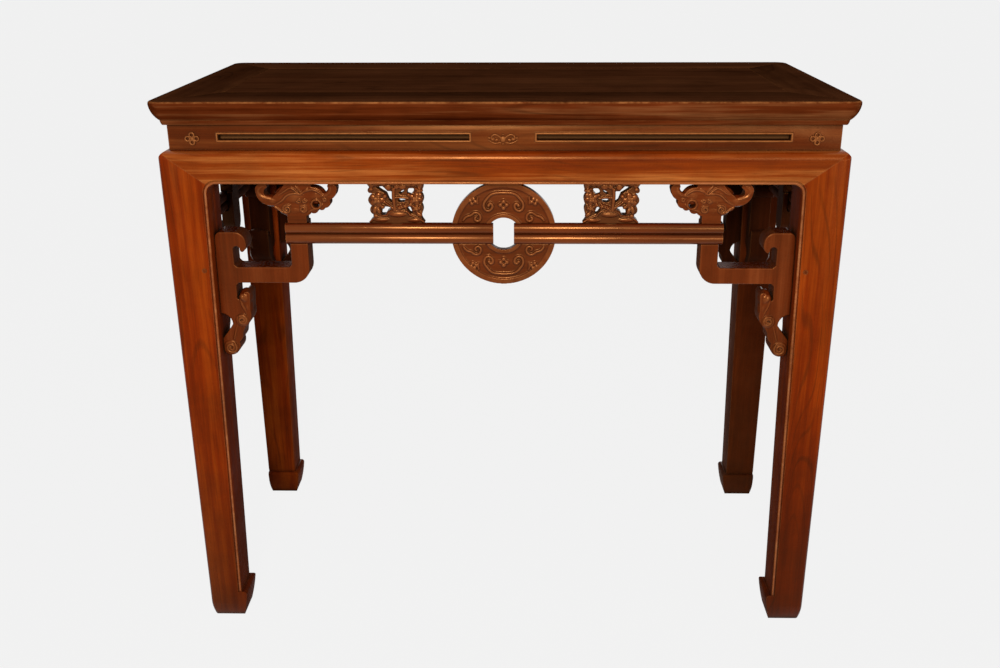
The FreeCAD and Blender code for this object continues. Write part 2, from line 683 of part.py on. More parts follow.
def leg(shoulder):
    """Front left leg: tapered post with hoof foot, mitred shoulders and tenons into the top."""
    start, steps = leg_side(LEG_FACE_X)
    reach = LEG_FACE_Y + OVERRUN
    wide = LEG_TOP_WIDTH + TOE_REACH + OVERRUN
    prism_x = panel_xz(start, steps, -reach, -reach + wide + OVERRUN)
    prism_x = flip_x(prism_x)
    start, steps = leg_side(LEG_FACE_Y)
    reach = LEG_FACE_X + OVERRUN
    prism_y = flip_y(panel_yz(start, steps, -reach, -reach + wide + OVERRUN))
    body = prism_x.common(prism_y)
    reach = FOOT_TAPER + SMALL

    def outer(corner):
        return abs(corner.X + LEG_FACE_X) < reach and abs(corner.Y + LEG_FACE_Y) < reach

    upright = [
        edge for edge in body.Edges
        if all(outer(corner) for corner in edge.Vertexes) and edge.BoundBox.ZLength > SMALL
    ]
    body = body.makeFillet(LEG_CORNER_RADIUS, upright)
    inner_x = LEG_FACE_X - leg_width(APRON_BOTTOM)
    inner_y = LEG_FACE_Y - leg_width(APRON_BOTTOM)
    ears = []
    for inner, make, face in ((inner_x, panel_xz, LEG_FACE_Y), (inner_y, panel_yz, LEG_FACE_X)):
        straight = inner - APRON_CORNER_RADIUS
        low = APRON_BOTTOM - APRON_CORNER_RADIUS
        bow = APRON_CORNER_RADIUS * math.sqrt(0.5)
        steps = (
            ((-inner - BEAD_WIDTH, APRON_BOTTOM),), ((-inner - BEAD_WIDTH, low),), ((-inner, low),),
            ((-straight - bow, low + bow), (-straight, APRON_BOTTOM)),
        )
        ears.append(make((-straight, APRON_BOTTOM), steps, -face, -face + APRON_THICKNESS))
    body = fuse([body] + ears)
    body = body.cut(apron_blank(LEG_FACE_X, LEG_FACE_Y, APRON_THICKNESS, OVERRUN))
    body = body.cut(turned(apron_blank(LEG_FACE_Y, LEG_FACE_X, APRON_THICKNESS, OVERRUN)))
    body = body.common(shoulder)
    post = box(
        (-LEG_FACE_X + APRON_THICKNESS, -LEG_FACE_Y + APRON_THICKNESS, APRON_BOTTOM),
        (-LEG_FACE_X + LEG_TOP_WIDTH, -LEG_FACE_Y + LEG_TOP_WIDTH, TOP_UNDERSIDE),
    ).cut(box(
        (-LEG_FACE_X, -LEG_FACE_Y, APRON_BOTTOM - OVERRUN), (0, 0, APRON_TOP),
    ))
    body = fuse([single(body), post] + leg_tenons(0))
    body = body.cut(flip_x(bead_groove(LEG_FACE_X, LEG_FACE_Y)))
    body = body.cut(turned(bead_groove(LEG_FACE_Y, LEG_FACE_X)))
    body = body.cut(bracket_tenon(-LEG_FACE_Y + OPENWORK_FACE, LEG_FACE_X, FIT))
    body = body.cut(turned(flip_x(bracket_tenon(-LEG_FACE_X + OPENWORK_FACE, LEG_FACE_Y, FIT))))
    return single(body)


# Openwork pieces

def rail_section(front, centre_height):
    """Double roll: two rolls bulging to the front and to the back of a slim core."""
    back = front + RAIL_DEPTH
    near = front + ROLL_BULGE
    far = back - ROLL_BULGE
    low = centre_height - RAIL_HEIGHT / 2
    high = centre_height + RAIL_HEIGHT / 2
    quarter = RAIL_HEIGHT / 4
    steps = (
        ((front, high - quarter), (near, centre_height)),
        ((front, low + quarter), (near, low)),
        ((far, low),),
        ((back, low + quarter), (far, centre_height)),
        ((back, high - quarter), (far, high)),
    )
    return (near, high), steps


def rail(front, low_end, high_end):
    start, steps = rail_section(front, RAIL_CENTRE_HEIGHT)
    return panel_yz(start, steps, low_end, high_end)


def seat_tenon(x, width, face, slack):
    """Flat tenon from a piece of the openwork up into the apron, at a place along the front."""
    near = face + SEAT_TENON_SET
    low = APRON_BOTTOM - SEAT_TENON_HEIGHT
    high = APRON_BOTTOM + SEAT_TENON_HEIGHT
    return box(
        (x - width / 2 - slack, near - slack, low),
        (x + width / 2 + slack, near + SEAT_TENON_THICKNESS + slack, high + slack),
    )


def disc(front, face):
    """Pierced disc with a raised rim and ring, notched for the rails' laps, tenoned into the apron."""
    field = DISC_FIELD_DEPTH
    back = DISC_THICKNESS
    points = (
        (DISC_HOLE_RADIUS, back), (DISC_RADIUS, back), (DISC_RADIUS, 0), (DISC_RADIUS - DISC_RIM_WIDTH, 0),
        (DISC_RADIUS - DISC_RIM_WIDTH - field, field), (DISC_HOLE_RADIUS + DISC_RING_WIDTH + field, field),
        (DISC_HOLE_RADIUS + DISC_RING_WIDTH, 0), (DISC_HOLE_RADIUS, 0),
    )
    section = outline(
        points[0], [(point,) for point in points[1:]],
        lambda point: at(point[0], face + point[1], RAIL_CENTRE_HEIGHT))
    body = section.revolve(at(0, 0, RAIL_CENTRE_HEIGHT), at(0, 1, 0), 360)
    reach = DISC_RADIUS + OVERRUN
    slot = box((-reach, face - OVERRUN, RAIL_BOTTOM), (reach, front + RAIL_LAP_DEPTH, RAIL_TOP))
    saddle = seat_tenon(0, DISC_TENON_WIDTH, face, 0)
    root = box(
        (-DISC_TENON_WIDTH / 2, face + SEAT_TENON_SET, RAIL_TOP),
        (DISC_TENON_WIDTH / 2, face + SEAT_TENON_SET + SEAT_TENON_THICKNESS, APRON_BOTTOM),
    )
    centre = at(0, face, RAIL_CENTRE_HEIGHT)
    ring = Part.makeCylinder(DISC_RADIUS - DISC_RIM_WIDTH, DISC_THICKNESS, centre, at(0, 1, 0))
    return single(fuse([body.cut(slot), saddle, root.cut(ring)]))


def flower_block(face):
    """Pierced block of a flowering plant on a mound, between the rail and the apron."""
    low, high = flower_span()
    middle = flower_middle()
    width = (high - low) * FLOWER_SPAN_SHARE
    height = APRON_BOTTOM - RAIL_TOP
    back = face + FLOWER_THICKNESS

    def place(share):
        return (middle + share[0] * width, RAIL_TOP + share[1] * height)

    steps = [tuple(place(share) for share in step) for step in FLOWER_SHARES]
    block = panel_xz(place(FLOWER_START_SHARES), steps, face, back)
    for shares in FLOWER_HOLE_SHARES:
        steps = [(place(share),) for share in shares[1:]]
        block = block.cut(panel_xz(place(shares[0]), steps, face - OVERRUN, back + OVERRUN))
    top = seat_tenon(middle, FLOWER_TENON_WIDTH, face, 0)
    foot = rail_tenon(middle, FLOWER_TENON_WIDTH, 0)
    return single(fuse([block, top, foot]))


def rail_tenon(x, width, slack):
    """Tenon that stands in the flat crest of the front rail."""
    near = -LEG_FACE_Y + OPENWORK_FACE
    far = -LEG_FACE_Y + RAIL_FACE + RAIL_DEPTH - ROLL_BULGE
    return box(
        (x - width / 2 - slack, near, RAIL_TOP - SEAT_TENON_HEIGHT - slack),
        (x + width / 2 + slack, far, RAIL_TOP + SEAT_TENON_HEIGHT / 2),
    )


def bracket_tenon(face, leg_face, slack):
    """Tenon from a bracket into the leg that it stands against."""
    low = ARM_BOTTOM_HEIGHT + BRACKET_TENON_LIFT - slack
    high = ARM_BOTTOM_HEIGHT + BRACKET_TENON_LIFT + BRACKET_TENON_HEIGHT + slack
    near = face + BRACKET_TENON_SET - slack
    far = face + BRACKET_TENON_SET + BRACKET_TENON_THICKNESS + slack
    end = leg_face - leg_width(low) + BRACKET_TENON_LENGTH + slack
    return box((-end, near, low), (-leg_face + leg_width(low), far, high))


def bracket(face, full, leg_face):
    """Scroll bracket on a leg's inner face: hook, tail with spirals, and the arm where it has one."""
    foot = leg_face - leg_width(ARM_TOP)

    def contact(z):
        return -(leg_face - leg_width(z))

    def hook(share):
        if share[0] == 0.0:
            return (contact(ARM_TOP + share[1] * HOOK_RISE), ARM_TOP + share[1] * HOOK_RISE)
        return (-foot + share[0] * HOOK_REACH, ARM_TOP + share[1] * HOOK_RISE)

    def tail(share):
        z = ARM_BOTTOM_HEIGHT - share[1] * TAIL_DROP
        if share[0] == 0.0:
            return (contact(z), z)
        return (-foot + share[0] * HOOK_REACH, z)

    start = hook((0.0, HOOK_START_SHARE))
    steps = [tuple(hook(share) for share in step) for step in HOOK_SHARES]
    bar = -foot + LEG_BAR_WIDTH
    end = -foot + BRACKET_REACH
    post = end - POST_WIDTH
    chamfer = INNER_CHAMFER
    if full:
        bow = ARM_CORNER_RADIUS * (1 - math.sqrt(0.5))
        steps += [
            ((bar, ARM_TOP + chamfer),),
            ((bar + chamfer, ARM_TOP),),
            ((post - chamfer, ARM_TOP),),
            ((post, ARM_TOP + chamfer),),
            ((post, RAIL_TOP),),
            ((end, RAIL_TOP),),
            ((end, ARM_BOTTOM_HEIGHT + ARM_CORNER_RADIUS),),
            ((end - bow, ARM_BOTTOM_HEIGHT + bow), (end - ARM_CORNER_RADIUS, ARM_BOTTOM_HEIGHT)),
            ((bar + chamfer, ARM_BOTTOM_HEIGHT),),
            ((bar, ARM_BOTTOM_HEIGHT - chamfer),),
        ]
    steps += [tuple(tail(share) for share in step) for step in TAIL_SHARES]
    steps += [(tail((0.0, TAIL_REJOIN_SHARE)),)]
    steps += [tuple(tail(share) for share in step) for step in NECK_SHARES]
    plate = panel_xz(start, steps, face, face + BRACKET_THICKNESS)
    bosses = []
    for across, down, radius in SPIRAL_SHARES:
        centre = at(-foot + across * HOOK_REACH, face - SPIRAL_RAISE, ARM_BOTTOM_HEIGHT - down * TAIL_DROP)
        bosses.append(Part.makeCylinder(radius * HOOK_REACH, SPIRAL_RAISE * 2, centre, at(0, 1, 0)))
    tenon = bracket_tenon(face, leg_face, 0)
    return fuse([plate, tenon] + bosses)


def stem_tenon(x, face, slack):
    """Tenon from a ruyi head down into the bracket behind the rail."""
    y = face + HEAD_THICKNESS - STEM_TENON_THICKNESS - STEM_TENON_SET
    return box(
        (x - STEM_TENON_WIDTH / 2 - slack, y - slack, RAIL_TOP - STEM_TENON_LENGTH - slack),
        (x + STEM_TENON_WIDTH / 2 + slack, y + STEM_TENON_THICKNESS + slack, RAIL_TOP + SMALL),
    )


def front_bracket(leg_face):
    """Full bracket, housed for the rail that crosses its post and mortised for the head."""
    face = -LEG_FACE_Y + OPENWORK_FACE
    body = bracket(face, True, leg_face)
    rail_front = -LEG_FACE_Y + RAIL_FACE
    x = head_place(leg_face)
    housing = box(
        (x - POST_WIDTH, face - OVERRUN, RAIL_BOTTOM),
        (x + POST_WIDTH, rail_front + RAIL_DEPTH, RAIL_TOP + OVERRUN),
    )
    return single(body.cut(housing).cut(stem_tenon(x, face, FIT)))


def ruyi_plate(x, face, toward):
    """Carved head with curled horns and a scalloped chin, over a stem on the rail."""
    rise = APRON_BOTTOM - HEAD_BASE

    def place(share):
        return (x + toward * share[0] * HEAD_HALF_WIDTH, HEAD_BASE + share[1] * rise)

    head = panel_xz(
        place(HEAD_START_SHARES), [tuple(place(share) for share in step) for step in HEAD_SHARES],
        face, face + HEAD_THICKNESS)
    eye = place(HEAD_EYE_SHARES)
    through = HEAD_THICKNESS + 2 * OVERRUN
    hole = Part.makeCylinder(HEAD_EYE_RADIUS, through, at(eye[0], face - OVERRUN, eye[1]), at(0, 1, 0))
    half = HEAD_STEM_WIDTH / 2
    stem = box((x - half, face, RAIL_TOP), (x + half, face + HEAD_THICKNESS, HEAD_BASE))
    return [head.cut(hole), stem, seat_tenon(x, STEM_TENON_WIDTH, face, 0)]


def ruyi_head(leg_face):
    face = -LEG_FACE_Y + OPENWORK_FACE
    x = head_place(leg_face)
    return single(fuse(ruyi_plate(x, face, -1) + [stem_tenon(x, face, 0)]))


def rail_end_tenon(end_face, half_way, length, slack):
    """Tenons at both ends of an end rail, seen with the end turned to the front."""
    low = RAIL_BOTTOM + RAIL_TENON_LIFT - slack
    high = RAIL_BOTTOM + RAIL_TENON_LIFT + RAIL_TENON_HEIGHT + slack
    far = -end_face + RAIL_FACE + RAIL_DEPTH - ROLL_BULGE / 2
    near = far - RAIL_TENON_THICKNESS
    reach = half_way + length
    return box((-reach, near - slack, low), (reach, far + slack, high))


def ruyi_strut(end_face):
    """Head in the middle of an end, on a strut that passes behind the rail and ends below it."""
    face = -end_face + OPENWORK_FACE
    back = face + HEAD_THICKNESS
    low = RAIL_BOTTOM - STRUT_DROP
    half = STRUT_HALF_WIDTH
    steps = (((-half, low + half),), ((0, low), (half, low + half)), ((half, RAIL_TOP),))
    strut = panel_xz((-half, RAIL_TOP), steps, face, back)
    behind = -end_face + RAIL_FACE + RAIL_DEPTH
    housing = box((-half - OVERRUN, face - OVERRUN, RAIL_BOTTOM), (half + OVERRUN, behind, RAIL_TOP))
    return single(fuse(ruyi_plate(0, face, 1) + [strut.cut(housing)]))


def pins():
    """Wooden pins that hold the brackets' tenons, driven through the legs' front and back faces."""
    x = -LEG_FACE_X + leg_width(PIN_HEIGHT) - PIN_EDGE_DISTANCE
    head = at(x, -LEG_FACE_Y - PIN_PROUD, PIN_HEIGHT)
    peg = Part.makeCylinder(PIN_RADIUS, PIN_LENGTH + PIN_PROUD, head, at(0, 1, 0))
    return list(four_ways(peg).values())


def side_reach():
    """Half the clear way between the hooks of the two brackets on one end."""
    return LEG_FACE_Y - leg_width(ARM_TOP) - HOOK_REACH + FIT


def openwork_sockets(face):
    """Sockets for the tenons of the disc, blocks and heads in the front apron."""
    head_x = head_place(LEG_FACE_X)
    sockets = [seat_tenon(0, DISC_TENON_WIDTH, face, FIT)]
    for x, width in ((head_x, STEM_TENON_WIDTH), (flower_middle(), FLOWER_TENON_WIDTH)):
        sockets += [seat_tenon(x, width, face, FIT), flip_x(seat_tenon(x, width, face, FIT))]
    return sockets


def front_openwork(pegs):
    """Brackets, heads, rails, disc and blocks under the front apron, and the back's brackets."""
    face = -LEG_FACE_Y + OPENWORK_FACE
    rail_front = -LEG_FACE_Y + RAIL_FACE
    full = front_bracket(LEG_FACE_X)
    armless = flip_y(bracket(face, False, LEG_FACE_X))
    for name, shape in (("front_bracket_", full), ("back_bracket_", armless)):
        for peg in pegs:
            shape = shape.cut(peg)
        save(name + "left", single(shape))
        save(name + "right", single(flip_x(shape)))
    rail_end = head_place(LEG_FACE_X) - POST_WIDTH / 2 - RAIL_END_OVERRUN
    roll = rail(rail_front, rail_end, -DISC_HOLE_RADIUS + RAIL_STUB)
    centre = at(0, rail_front + RAIL_LAP_DEPTH, RAIL_CENTRE_HEIGHT)
    lap = Part.makeCylinder(DISC_RADIUS + FIT, RAIL_DEPTH, centre, at(0, 1, 0))
    roll = roll.cut(lap).cut(rail_tenon(flower_middle(), FLOWER_TENON_WIDTH, FIT))
    head = ruyi_head(LEG_FACE_X)
    for name, shape in (("front_rail_", roll), ("flower_block_", flower_block(face)), ("ruyi_head_", head)):
        save(name + "left", single(shape))
        save(name + "right", single(flip_x(shape)))
    save("front_disc", disc(rail_front, face))


def end_openwork():
    """Brackets, rails and struts under the two end aprons."""
    half_way = side_reach()
    end_bracket = bracket(-LEG_FACE_X + OPENWORK_FACE, False, LEG_FACE_Y)
    end_bracket = end_bracket.cut(rail_end_tenon(LEG_FACE_X, half_way, RAIL_TENON_LENGTH + FIT, FIT))
    end_bracket = turned(flip_x(end_bracket))
    end_rail = rail(-LEG_FACE_X + RAIL_FACE, -half_way, half_way)
    end_rail = turned(fuse([end_rail, rail_end_tenon(LEG_FACE_X, half_way, RAIL_TENON_LENGTH, 0)]))
    strut = turned(ruyi_strut(LEG_FACE_X))
    pieces = (
        ("side_bracket_front_", end_bracket), ("side_bracket_back_", flip_y(end_bracket)),
        ("side_rail_", end_rail), ("ruyi_strut_", strut),
    )
    for name, shape in pieces:
        save(name + "left", single(shape))
        save(name + "right", single(flip_x(shape)))


def top_mortises():
    """Everything that is let into the top frame: leg tenons, batten tenons and the waist's tongues."""
    mortises = [batten_tenon(x, FIT) for x in batten_places()]
    for tenon in leg_tenons(FIT):
        mortises += list(four_ways(tenon).values())
    front_tongue = waist_tongue(WAIST_FACE_X, WAIST_FACE_Y, FIT)
    left_tongue = turned(waist_tongue(WAIST_FACE_Y, WAIST_FACE_X, FIT))
    return mortises + [front_tongue, flip_y(front_tongue), left_tongue, flip_x(left_tongue)]


def main():
    os.makedirs("parts", exist_ok=True)
    top_members(top_mortises())
    panel_and_battens()
    waist()
    shoulder = shoulder_block()
    left_socket = turned(seat_tenon(0, STEM_TENON_WIDTH, -LEG_FACE_X + OPENWORK_FACE, FIT))
    aprons(shoulder, {
        "apron_front": openwork_sockets(-LEG_FACE_Y + OPENWORK_FACE), "apron_back": [],
        "apron_left": [left_socket], "apron_right": [flip_x(left_socket)],
    })
    pegs = pins()
    for name, piece in four_ways(leg(shoulder)).items():
        for peg in pegs:
            piece = piece.cut(peg)
        save("leg_" + name, single(piece))
    front_openwork(pegs)
    end_openwork()
    save("bracket_pins", Part.makeCompound(pegs))


main()
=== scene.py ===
import math

import bpy
from mathutils import Matrix, Vector


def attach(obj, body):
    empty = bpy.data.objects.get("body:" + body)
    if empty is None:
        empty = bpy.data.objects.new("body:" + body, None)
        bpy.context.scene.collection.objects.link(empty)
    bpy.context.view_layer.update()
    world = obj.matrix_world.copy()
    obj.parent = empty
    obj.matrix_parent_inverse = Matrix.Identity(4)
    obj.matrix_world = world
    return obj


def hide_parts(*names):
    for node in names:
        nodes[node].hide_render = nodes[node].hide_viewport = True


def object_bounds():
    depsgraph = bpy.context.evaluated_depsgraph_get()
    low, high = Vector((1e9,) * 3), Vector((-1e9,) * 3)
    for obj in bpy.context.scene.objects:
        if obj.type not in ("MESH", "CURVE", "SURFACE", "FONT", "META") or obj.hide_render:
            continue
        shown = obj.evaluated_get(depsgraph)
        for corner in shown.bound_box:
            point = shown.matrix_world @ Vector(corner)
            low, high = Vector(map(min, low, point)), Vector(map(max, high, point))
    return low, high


# Altar table: lacquer, wear and carving over the table's construction, in metres.
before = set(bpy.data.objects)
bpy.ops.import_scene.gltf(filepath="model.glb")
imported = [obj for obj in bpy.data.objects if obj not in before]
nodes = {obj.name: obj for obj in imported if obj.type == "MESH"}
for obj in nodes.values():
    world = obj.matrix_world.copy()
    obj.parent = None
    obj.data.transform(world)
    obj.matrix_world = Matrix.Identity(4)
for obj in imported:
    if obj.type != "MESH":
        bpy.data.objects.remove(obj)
cad_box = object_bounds()

MM = 0.001

# Camera that matches the photograph
PHOTO_WIDTH = 1000
FOCAL_PIXELS = 1053.6
MIDDLE_PIXEL = 509.9
SENSOR_WIDTH = 36.0
CAMERA_PLACE = Vector((0.0373, -1.7008, 1.0528))
CAMERA_PITCH = 0.3605
CAMERA_YAW = -0.0193
CAMERA_ROLL = 0.0033

# Light and floor
FLOOR_HALF = 30.0
WORLD_STRENGTH = 0.12
SEEN_PAPER = 0.87
LAMPS = (
    ("key_softbox", (-0.16, -2.62, 1.55), 0.55, 60.0),
    ("fill_softbox", (1.35, -2.45, 1.10), 0.8, 11.0),
)
LAMP_TARGET = Vector((0, 0, 0.52))
LAMP_COLOUR = (1.0, 0.965, 0.91)
WORLD_COLOUR = (1.0, 0.95, 0.89, 1)
PAPER_WHITE = (1, 1, 1, 1)
PAPER_DULL = (0.22, 0.21, 0.20, 1)
PAPER_SHADOW = (0.025, 0.025, 0.025, 1)
PAPER_TOOTH = 300.0

# Finishes: dark, middle and light tone of each wood
LEG_TONES = ((0.104, 0.0070, 0.0002), (0.186, 0.0170, 0.0004), (0.320, 0.0480, 0.0026))
# The back legs' tones are copies of the legs' wood: the back left painted lighter as light, the back right
# painted darker as shade
PAINTED_LIGHT_LEG_TONES = ((0.140, 0.0100, 0.0004), (0.250, 0.0240, 0.0008), (0.420, 0.0660, 0.0036))
PAINTED_SHADE_LEG_TONES = ((0.055, 0.0060, 0.0006), (0.090, 0.0110, 0.0012), (0.150, 0.0250, 0.0036))
APRON_TONES = ((0.115, 0.0090, 0.0003), (0.222, 0.0305, 0.0012), (0.500, 0.1550, 0.0330))
TOP_TONES = ((0.080, 0.0235, 0.0085), (0.106, 0.0335, 0.0125), (0.142, 0.0470, 0.0170))
EDGE_TONES = ((0.060, 0.0090, 0.0014), (0.125, 0.0235, 0.0050), (0.260, 0.0960, 0.0320))
WAIST_TONES = ((0.046, 0.0045, 0.0005), (0.090, 0.0115, 0.0012), (0.175, 0.0430, 0.0090))
ROLL_TONES = ((0.046, 0.0042, 0.0005), (0.092, 0.0105, 0.0012), (0.160, 0.0320, 0.0070))
CARVED_TONES = ((0.060, 0.0060, 0.0006), (0.108, 0.0140, 0.0018), (0.175, 0.0350, 0.0080))
# Tones of the side rails, back brackets and end carvings: the same wood painted dark as shade
SHADED_TONES = ((0.022, 0.0026, 0.0004), (0.040, 0.0052, 0.0010), (0.070, 0.0120, 0.0028))
# The bead is painted lighter than the apron: wear and a painted highlight
BEAD_WEAR_AND_HIGHLIGHT_TONES = ((0.190, 0.0400, 0.0090), (0.290, 0.0780, 0.0240), (0.420, 0.1600, 0.0620))
BATTEN_TONES = ((0.012, 0.0060, 0.0035), (0.030, 0.0140, 0.0080), (0.060, 0.0300, 0.0160))
# Pale of rubbed wear, also laid on arrises, rims and carved heights as a painted highlight
WEAR_AND_HIGHLIGHT_COLOUR = (0.400, 0.1450, 0.0420, 1)
# Dark of soiling, growth lines and pores, also laid as painted shade in crevices, grooves, slots, on inward
# faces and toward the feet
DIRT_AND_SHADE_COLOUR = (0.0080, 0.0022, 0.0008, 1)
WARM_SHINE = (1.0, 0.42, 0.14, 1)

# Grain: how far patterns are drawn out along it, how fine each is and its share in the colour
GRAIN_SQUEEZE = 0.10
FIBRE_SQUEEZE = 0.022
FIGURE_SCALE = 11.0
FIGURE_LINES = 150.0
FIGURE_PATCHES = 8.0
STREAK_SCALE = 90.0
STRAND_SCALE = 520.0
PORE_SCALE = 1500.0
CLOUD_SCALE = 16.0
PATINA_SCALE = 10.0
SMEAR_SCALE = 24.0
CHIP_SCALE = 60.0
RUB_SCALE = 90.0
RAGGED_SCALE = 32.0
STREAK_SHARE = 0.34
STRAND_SHARE = 0.20
CLOUD_SHARE = 0.46
LINE_STRENGTH = 0.38
PORE_STRENGTH = 0.30
# How much painted shade darkens faces turned to the table's middle
INWARD_SHADE = 0.24
# How much painted shade darkens the legs toward the floor
FOOT_SHADE = 0.60
ARRIS_REACH = 0.0020
CARVED_HOLLOW = 0.005
PLAIN_HOLLOW = 0.010
DENT_DEPTH = 0.0001

# Construction sizes that the dressing repeats
LEG_FACE_X = 486.2 * MM
LEG_FACE_Y = 236.2 * MM
LEG_TOP_WIDTH = 65.2 * MM
LEG_FLOOR_WIDTH = 51.4 * MM
APRON_TOP = 772.0 * MM
APRON_BOTTOM = 726.0 * MM
CORNER_RADIUS = 14.0 * MM
BEAD_WIDTH = 3.6 * MM
TOE_LEDGE = 45.0 * MM
OPENWORK_INSET = 18.0 * MM
WAIST_INSET = 13.7 * MM
FRONT_WORK = LEG_FACE_Y - OPENWORK_INSET
END_WORK = LEG_FACE_X - OPENWORK_INSET
FRONT_WAIST = LEG_FACE_Y - WAIST_INSET
END_WAIST = LEG_FACE_X - WAIST_INSET

# Easing of each kind of member's arrises
TOP_EASE = 0.35 * MM
BOARD_EASE = 0.6 * MM
LEG_EASE = 1.0 * MM
ROLL_EASE = 1.2 * MM

# How finely meshes are merged, rounded and shaded
MERGE_REACH = 0.01 * MM
FLAT_ANGLE = math.radians(0.6)
ARRIS_ANGLE = math.radians(28)
MEMBER_ANGLE = math.radians(35)
STRAND_ANGLE = math.radians(50)
EASE_SEGMENTS = 3
STRAND_STEPS = 5
STRAND_ROUNDS = 2
BALL_SEGMENTS = 16
BALL_RINGS = 10
TURN_POINTS = 10

# Carving from its face, in mm: darkened with soiling and painted shade at the first height, plain at the
# second, rubbed pale with wear and a painted highlight at the third
DISC_HEIGHTS = (-4.2, -1.0, 1.2)
HEAD_HEIGHTS = (-8.2, -0.2, 1.8)
FLOWER_HEIGHTS = (-3.7, -1.0, 1.2)
BRACKET_HEIGHTS = (-23.2, -0.2, 3.2)
MOTIF_HEIGHTS = (-0.1, 0.7, 2.0)
# The waist's slots, in mm from the board's face: painted nearly black as shade at the first height, plain at
# the second
SLOT_HEIGHTS = (-3.0, -0.3)


def look_matrix():
    """Where the camera stands and how it is turned."""
    forward = Vector((
        math.sin(CAMERA_YAW) * math.cos(CAMERA_PITCH),
        math.cos(CAMERA_YAW) * math.cos(CAMERA_PITCH),
        -math.sin(CAMERA_PITCH),
    ))
    level = Vector((math.cos(CAMERA_YAW), -math.sin(CAMERA_YAW), 0))
    down = forward.cross(level)
    right = math.cos(CAMERA_ROLL) * level + math.sin(CAMERA_ROLL) * down
    down = math.cos(CAMERA_ROLL) * down - math.sin(CAMERA_ROLL) * level
    turn = Matrix((right, -down, -forward)).transposed().to_4x4()
    return Matrix.Translation(CAMERA_PLACE) @ turn


def add_camera():
    bpy.ops.object.camera_add()
    camera = bpy.context.object
    camera.name = "photo_camera"
    camera.matrix_world = look_matrix()
    camera.data.sensor_width = SENSOR_WIDTH
    camera.data.lens = FOCAL_PIXELS / PHOTO_WIDTH * SENSOR_WIDTH
    camera.data.shift_x = 0.5 - MIDDLE_PIXEL / PHOTO_WIDTH
    camera.data.clip_end = FLOOR_HALF * 3
    bpy.context.scene.camera = camera


class Shader:
    """One material under construction: short ways to add nodes and join them."""

    def __init__(self, name):
        self.material = bpy.data.materials.new(name)
        self.material.use_nodes = True
        self.tree = self.material.node_tree
        self.tree.nodes.clear()

    def node(self, kind, inputs=None, **settings):
        made = self.tree.nodes.new("ShaderNode" + kind)
        for key, value in settings.items():
            setattr(made, key, value)
        for key, value in (inputs or {}).items():
            if isinstance(value, bpy.types.NodeSocket):
                self.tree.links.new(value, made.inputs[key])
            else:
                made.inputs[key].default_value = value
        return made

    def math(self, operation, first, second=0.0, clamp=False):
        return self.node("Math", {0: first, 1: second}, operation=operation, use_clamp=clamp).outputs[0]

    def times(self, first, second):
        return self.math("MULTIPLY", first, second)

    def plus(self, first, second):
        return self.math("ADD", first, second)

    def mix(self, factor, first, second, blend="MIX"):
        inputs = {0: factor, 6: first, 7: second}
        return self.node("Mix", inputs, data_type="RGBA", blend_type=blend).outputs[2]

    def ramp(self, value, low, high, start=0.0, end=1.0):
        """Value carried from low..high to start..end, held outside."""
        inputs = {"Value": value, "From Min": low, "From Max": high, "To Min": start, "To Max": end}
        return self.node("MapRange", inputs, clamp=True).outputs["Result"]

    def noise(self, place, scale, detail=3.0, rough=0.5, distortion=0.0):
        inputs = {"Vector": place, "Scale": scale, "Detail": detail}
        inputs.update({"Roughness": rough, "Distortion": distortion})
        return self.node("TexNoise", inputs).outputs["Fac"]

    def parts(self, vector):
        return self.node("SeparateXYZ", {0: vector}).outputs

    def grey(self, value):
        return self.node("CombineColor", {0: value, 1: value, 2: value}).outputs[0]

    def finish(self, surface):
        output = self.node("OutputMaterial")
        self.tree.links.new(surface, output.inputs["Surface"])
        return self.material


def rgba(tone):
    return (tone[0], tone[1], tone[2], 1)


def heights(axis, face, steps):
    """An axis, and distances from the table's middle for heights in mm from a face."""
    return (axis,) + tuple(face + step * MM for step in steps)


